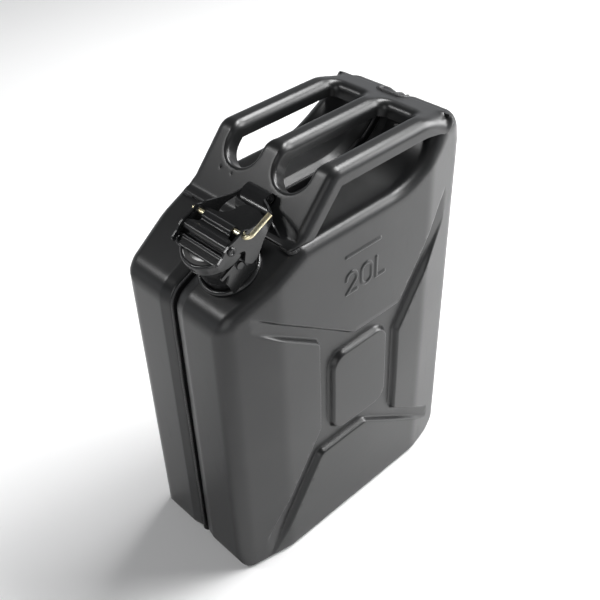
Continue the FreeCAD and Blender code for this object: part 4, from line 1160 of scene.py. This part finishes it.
def tube(path, radius, steps=16):
    """Round rod with domed ends along points (u, v, n)."""
    line = evenly(np.array(path, float), 0.7, False)
    along = np.gradient(line, axis=0)
    along /= np.linalg.norm(along, axis=1)[:, None]
    away = np.linspace(0, 1, len(line))[:, None]
    reach = np.minimum(away, 1 - away)[:, 0] * (len(line) - 1) * 0.7
    size = radius * np.sqrt(np.clip(1 - (1 - np.minimum(reach / 0.8, 1)) ** 2 * 0.35, 0.02, 1))
    size[[0, -1]] = radius * 0.02
    side = np.cross(along, (0.31, 0.53, 0.79))
    side /= np.linalg.norm(side, axis=1)[:, None]
    other = np.cross(along, side)
    angles = np.linspace(0, 2 * math.pi, steps, endpoint=False)
    ring = side[:, None] * np.cos(angles)[:, None] + other[:, None] * np.sin(angles)[:, None]
    points = (line[:, None] + ring * size[:, None, None]).reshape(-1, 3)
    return points, grid_faces(len(line), steps, True)


def joined(parts):
    """One set of points and faces from several."""
    points, faces, start = [], [], 0
    for part_points, part_faces in parts:
        points.append(part_points)
        faces.append(part_faces + start)
        start += len(part_points)
    return np.vstack(points), np.vstack(faces)


def spout_piece(name, parts, body, finish, nodes, sharp=40):
    """Piece made of parts given in the spout frame, its faces turned outwards."""
    points, faces = joined(parts)
    mesh = solid_mesh(name, in_spout_frame(points), faces, sharp)
    work = bmesh.new()
    work.from_mesh(mesh)
    bmesh.ops.remove_doubles(work, verts=work.verts, dist=0.001 * MM)
    bmesh.ops.recalc_face_normals(work, faces=work.faces)
    work.to_mesh(mesh)
    work.free()
    return place_piece(name, mesh, body, finish, nodes)


PIVOT_N = 51.0
PIN_U = 17.5
CHEEK_V = 33.0
HINGE_U = 72.8
HINGE_N = 17.2
HINGE_ROLL = 5.5
PIN_RADIUS = 2.5


def cap_piece():
    """Cap: shallow dome, rolled rim with a groove inside it, and a skirt with a beaded edge."""
    profile = [
        (0.02, 46.5), (12, 46.4), (20, 46.0), (23.5, 45.3), (25.2, 44.9), (26.4, 45.4), (27.6, 46.2),
        (28.9, 46.3), (30.1, 45.6), (30.8, 44.2), (30.7, 36.6), (30.9, 35.6), (30.8, 34.4), (30.1, 34.0),
        (29.6, 34.8), (29.7, 43.4), (28.9, 44.9), (27.8, 45.1), (26.4, 44.2), (25, 43.8), (20, 44.9),
        (0.02, 45.3),
    ]
    spout_piece("cap", [turned(profile)], "closure", CLOSURE_PAINT, ["cap_shell"], 60)


def neck_pieces():
    """Neck tube with its rolled lip."""
    tube_profile = [
        (26.5, -11), (26.5, 37.2), (25.0, 37.6), (25.0, 24.6), (25.6, 24.0), (25.6, -11),
    ]
    spout_piece("neck", [turned(tube_profile)], "can", CLOSURE_PAINT, ["neck_tube"])
    turns = np.linspace(0, 2 * math.pi, 20, endpoint=False)
    lip = [(26.7 + 1.7 * math.cos(t), 38.6 + 1.7 * math.sin(t)) for t in turns]
    spout_piece("neck_rim", [turned(lip)], "can", CLOSURE_PAINT, ["neck_lip"], 80)


def strap_parts():
    """Strap: ribbed front plate, floor behind the lever, two cheeks and a hood that rolls round the hinge."""
    front = rounded([
        (-19.2, 44.6, 0), (-19.0, 47.0, 1.2), (-10.2, 47.5, 1.0), (-8.4, 50.6, 1.6), (-6.6, 47.3, 1.0),
        (22, 47.2, 0),
    ], False)
    widths = [(0, 25.5), (0.04, 27.8), (0.1, 29.4), (0.24, 30.4), (1, 30.8)]
    parts = [bent_sheet(front, [(s, -w) for s, w in widths], widths, 1.4)]
    floor = [
        (20, -31, 1), (43.5, -31, 4), (47, -22, 5), (46.5, -7, 5), (41, 0, 6), (33, 3, 8), (27, 14, 8),
        (25, 31, 2), (20, 31, 1),
    ]
    parts.append(level_plate(floor, 47.2, 1.4))
    hood = rounded([
        (47.5, 6, 0), (50, 17, 8), (57, 24.4, 10), (69, 24.2, 8),
        (HINGE_U + HINGE_ROLL, HINGE_N + HINGE_ROLL, 5.4), (HINGE_U + HINGE_ROLL, HINGE_N - HINGE_ROLL, 5.4),
        (HINGE_U - 4, HINGE_N - HINGE_ROLL, 0),
    ], False)
    near = [(0, -27), (0.15, -24), (0.3, -16), (0.42, -6), (0.5, 0), (0.55, 2), (1, 2)]
    far = [(0, 31.8), (0.4, 33), (0.55, 34), (1, 34)]
    parts.append(bent_sheet(hood, near, far, 1.6))
    outline = [
        (-19, 47, 1), (-10, 47, 1), (-1, 45.6, 3), (11.7, 37.7, 3), (4.5, 28, 3), (9, 18.7, 3), (16, 18.7, 5),
        (27, 25.5, 4), (30, 28, 0.3), (30, 50.4, 0.3), (25, 52.2, 3), (20.5, 56.2, 1.5), (10, 56.2, 4),
        (1, 57.4, 5), (-6, 56.0, 3), (-10, 53.6, 3), (-19, 51.5, 2),
    ]
    for side in (-1, 1):
        parts.append(flat_plate(outline, side * CHEEK_V, side, 2.0))
        curl = [
            (-18.5, 25.5, 46.6), (-17.2, 27.6, 48.4), (-14.6, 28.6, 49.6), (-12.4, 29, 48.6), (-12, 29, 46.8),
        ]
        parts.append(tube(smooth_line(np.array(curl) * (1, side, 1)), 1.0))
    top = [
        (29, -33, 50.9), (35, -32.8, 48), (41.2, -31.3, 44.8), (47, -28.6, 41), (52.9, -23.8, 37),
        (57.5, -18.6, 33.5), (61, -13, 30.5), (64, -6.4, 28), (66.5, -0.4, 25.5), (69, 4, 23.4),
    ]
    bottom = [
        (29, -33, 27.2), (35, -32.8, 30.4), (41.2, -31.3, 31.6), (47, -28.6, 30.2), (52.9, -23.8, 28),
        (57.5, -18.6, 26.2), (61, -13, 25), (64, -6.4, 24.2), (66.5, -0.4, 23.6), (69, 4, 22.4),
    ]
    parts.append(wall_between(top, bottom, -1, 1.8))
    top = [(29, 33, 50.6), (36, 33, 45), (43, 33, 39.5), (53.4, 33.4, 31.5), (62, 34, 26), (70, 34.4, 22.6)]
    bottom = [(29, 33, 27.2), (36, 33, 30), (43, 33, 30), (53.4, 33.4, 26), (62, 34, 22.6), (70, 34.4, 20.6)]
    parts.append(wall_between(top, bottom, 1, 1.8))
    return parts


def lever_parts():
    """Cam lever: sheet bulged over the pivot and rolled round the pin, with two flanges that end in claws."""
    sheet = rounded([
        (-0.5, 46.95, 0), (-4.2, 46.95, 4.0), (-4.2, 55.2, 4.1), (4.2, 55.2, 4.0), (6.6, 52.4, 2.2),
        (12.2, 52.2, 1.6),
        (13.4, 55.2, 1.8), (21.6, 55.2, 3.9), (21.6, 46.8, 3.9), (13.4, 46.8, 3.9), (13.4, 50.6, 0),
    ], False)
    widths = [(0, 27.4), (0.05, 28.2), (0.3, 28.2), (0.4, 27.4), (0.43, 20.4), (0.46, 19.6), (1, 19.6)]
    parts = [bent_sheet(sheet, [(s, -w) for s, w in widths], widths, 1.4)]
    flange = [
        (-2, 47.2, 1), (12.4, 47.2, 1), (12.4, 33.5, 3), (5, 30, 1), (5, 19, 1), (14, 18.6, 2), (18.5, 21, 3),
        (18.5, 44, 3), (22.3, 49, 3), (21.5, 54.8, 3), (0, 54.9, 2), (-3.7, 54.0, 3), (-4.0, 49, 3),
    ]
    for side in (-1, 1):
        parts.append(flat_plate(flange, side * 30.6, side, 1.8))
    return parts


def pivot_parts():
    """Pivot pin with a rolled head at each end."""
    parts = [tube([(0, -33.5, PIVOT_N), (0, 33.5, PIVOT_N)], PIN_RADIUS)]
    head = [
        (0.02, 0.5), (1.2, 0.6), (1.8, 1.5), (2.6, 2.0), (3.6, 1.9), (4.4, 1.1), (4.6, 0), (4.4, -0.4),
        (0.02, -0.4),
    ]
    for side in (-1, 1):
        parts.append(turned_across(head, 0, PIVOT_N, side * 33.2, side))
    return parts


def pin_path():
    """Locking pin: straight across the lever, then bent back along the near cheek."""
    leg = rounded([(37.5, PIN_U, 0), (-38, PIN_U, 5.5), (-38, 48, 0)], False)
    return np.column_stack([leg[:, 1], leg[:, 0], np.full(len(leg), PIVOT_N)])


cap_piece()
neck_pieces()
spout_piece("strap", strap_parts(), "closure", CLOSURE_PAINT, ["closure_strap"])
spout_piece("lever", lever_parts(), "lever", CLOSURE_PAINT, ["cam_lever"])
spout_piece("lever_pivot_pin", pivot_parts(), "closure", CLOSURE_PAINT, ["lever_pivot"])
spout_piece("drawn_pin", [tube(pin_path(), PIN_RADIUS)], "pin", ZINC, ["locking_pin"])
hinge_line = [(HINGE_U, 0.6, HINGE_N), (HINGE_U, 35.5, HINGE_N)]
spout_piece("hinge_rod", [tube(hinge_line, PIN_RADIUS)], "can", CLOSURE_PAINT, ["hinge_pin"])


def softened(node_name, name, body, material, width, angle=32):
    """Copy of a part with its sharp edges rolled over."""
    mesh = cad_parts[node_name].data.copy()
    work = bmesh.new()
    work.from_mesh(mesh)
    bmesh.ops.remove_doubles(work, verts=work.verts, dist=0.004 * MM)
    bmesh.ops.dissolve_limit(work, angle_limit=math.radians(1), verts=work.verts, edges=work.edges)
    work.to_mesh(mesh)
    work.free()
    holder = in_scene(name + "_holder", mesh)
    bevel = holder.modifiers.new("edge", "BEVEL")
    bevel.width = width * MM
    bevel.segments = 2
    bevel.limit_method = "ANGLE"
    bevel.angle_limit = math.radians(angle)
    mesh.shade_smooth()
    weights = holder.modifiers.new("flat", "WEIGHTED_NORMAL")
    weights.weight = 100
    weights.keep_sharp = False
    made = finished(holder)
    bpy.data.objects.remove(holder)
    made.name = name
    return place_piece(name, made, body, material, [node_name])


for node_name in ("neck_ear_outer", "neck_ear_inner", "hinge_bracket"):
    softened(node_name, node_name + "_finished", "can", CLOSURE_PAINT, 0.5)


# Floor, light and camera


def pale_floor():
    """Wide floor under the can."""
    mesh = bpy.data.meshes.new("floor")
    far = 6.0
    mesh.from_pydata([(-far, -far, 0), (far, -far, 0), (far, far, 0), (-far, far, 0)], [], [(0, 1, 2, 3)])
    floor = in_scene("floor", mesh)
    shader = Shader("pale_floor")
    shade = shader.noise(3.0, 2.0)
    mesh.materials.append(shader.finish(
        Base_Color=shader.blend(shade, rgb(0.9, 0.9, 0.9), rgb(0.93, 0.93, 0.93)),
        Roughness=0.8,
    ))


def soft_light(name, place, aim, size, power):
    """Rectangular light at a place, turned to a point."""
    lamp = bpy.data.lights.new(name, "AREA")
    lamp.shape = "RECTANGLE"
    lamp.size, lamp.size_y = size
    lamp.energy = power
    holder = in_scene(name, lamp)
    holder.location = place
    direction = Vector(aim) - Vector(place)
    holder.rotation_euler = direction.to_track_quat("-Z", "Y").to_euler()


PALE_HORIZON = 0.75
DIM_ZENITH = 0.05
PICTURE_WIDTH = 600
FOCAL_LENGTH_IN_PIXELS = 892.302
CENTRE_PIXEL = (277.116, 313.168)


def studio():
    """Sky that darkens upwards, a long light overhead, wide ones beside and a small one behind."""
    world = bpy.data.worlds.new("studio")
    world.use_nodes = True
    tree = world.node_tree
    place = tree.nodes.new("ShaderNodeTexCoord")
    split = tree.nodes.new("ShaderNodeSeparateXYZ")
    fade = tree.nodes.new("ShaderNodeMapRange")
    fade.interpolation_type = "SMOOTHSTEP"
    fade.inputs["From Min"].default_value = 0.1
    fade.inputs["From Max"].default_value = 0.5
    fade.inputs["To Min"].default_value = PALE_HORIZON
    fade.inputs["To Max"].default_value = DIM_ZENITH
    tree.links.new(place.outputs["Generated"], split.inputs[0])
    tree.links.new(split.outputs["Z"], fade.inputs["Value"])
    background = tree.nodes["Background"]
    background.inputs["Color"].default_value = rgb(0.95, 0.97, 1.0)
    tree.links.new(fade.outputs[0], background.inputs["Strength"])
    bpy.context.scene.world = world
    middle = (0, 0, 0.3)
    soft_light("overhead", (0.95, -0.05, 1.95), (0.05, 0, 0.4), (1.3, 0.42), 46)
    soft_light("right_side", (2.1, -1.0, 1.3), (0.5, -0.3, 0.1), (1.6, 1.6), 85)
    soft_light("left_front", (-2.2, -1.2, 1.5), (-0.2, -0.4, 0.1), (1.8, 1.8), 16)
    soft_light("left_behind", (-1.4, 1.5, 2.15), (-0.1, 0, 0.4), (0.45, 0.45), 15)


def photo_camera():
    """Camera at the viewing angle of the photograph."""
    azimuth = math.radians(-41.273)
    elevation = math.radians(39.311)
    roll = math.radians(-3.089)
    data = bpy.data.cameras.new("camera")
    data.sensor_width = 36
    data.lens = FOCAL_LENGTH_IN_PIXELS / PICTURE_WIDTH * data.sensor_width
    data.shift_x = (PICTURE_WIDTH / 2 - CENTRE_PIXEL[0]) / PICTURE_WIDTH
    data.shift_y = (CENTRE_PIXEL[1] - PICTURE_WIDTH / 2) / PICTURE_WIDTH
    data.clip_start = 0.05
    camera = in_scene("camera", data)
    back = Vector((
        math.sin(azimuth) * math.cos(elevation),
        -math.cos(azimuth) * math.cos(elevation),
        math.sin(elevation),
    ))
    right = (-back).cross(Vector((0, 0, 1))).normalized()
    up = right.cross(-back)
    turned_right = right * math.cos(roll) + up * math.sin(roll)
    turned_up = up * math.cos(roll) - right * math.sin(roll)
    place = Matrix((turned_right, turned_up, back)).transposed().to_4x4()
    place.translation = Vector((-0.536283, -0.570548, 0.887389))
    camera.matrix_world = place
    bpy.context.scene.camera = camera


pale_floor()
studio()
photo_camera()
bpy.context.scene.view_settings.view_transform = "Standard"
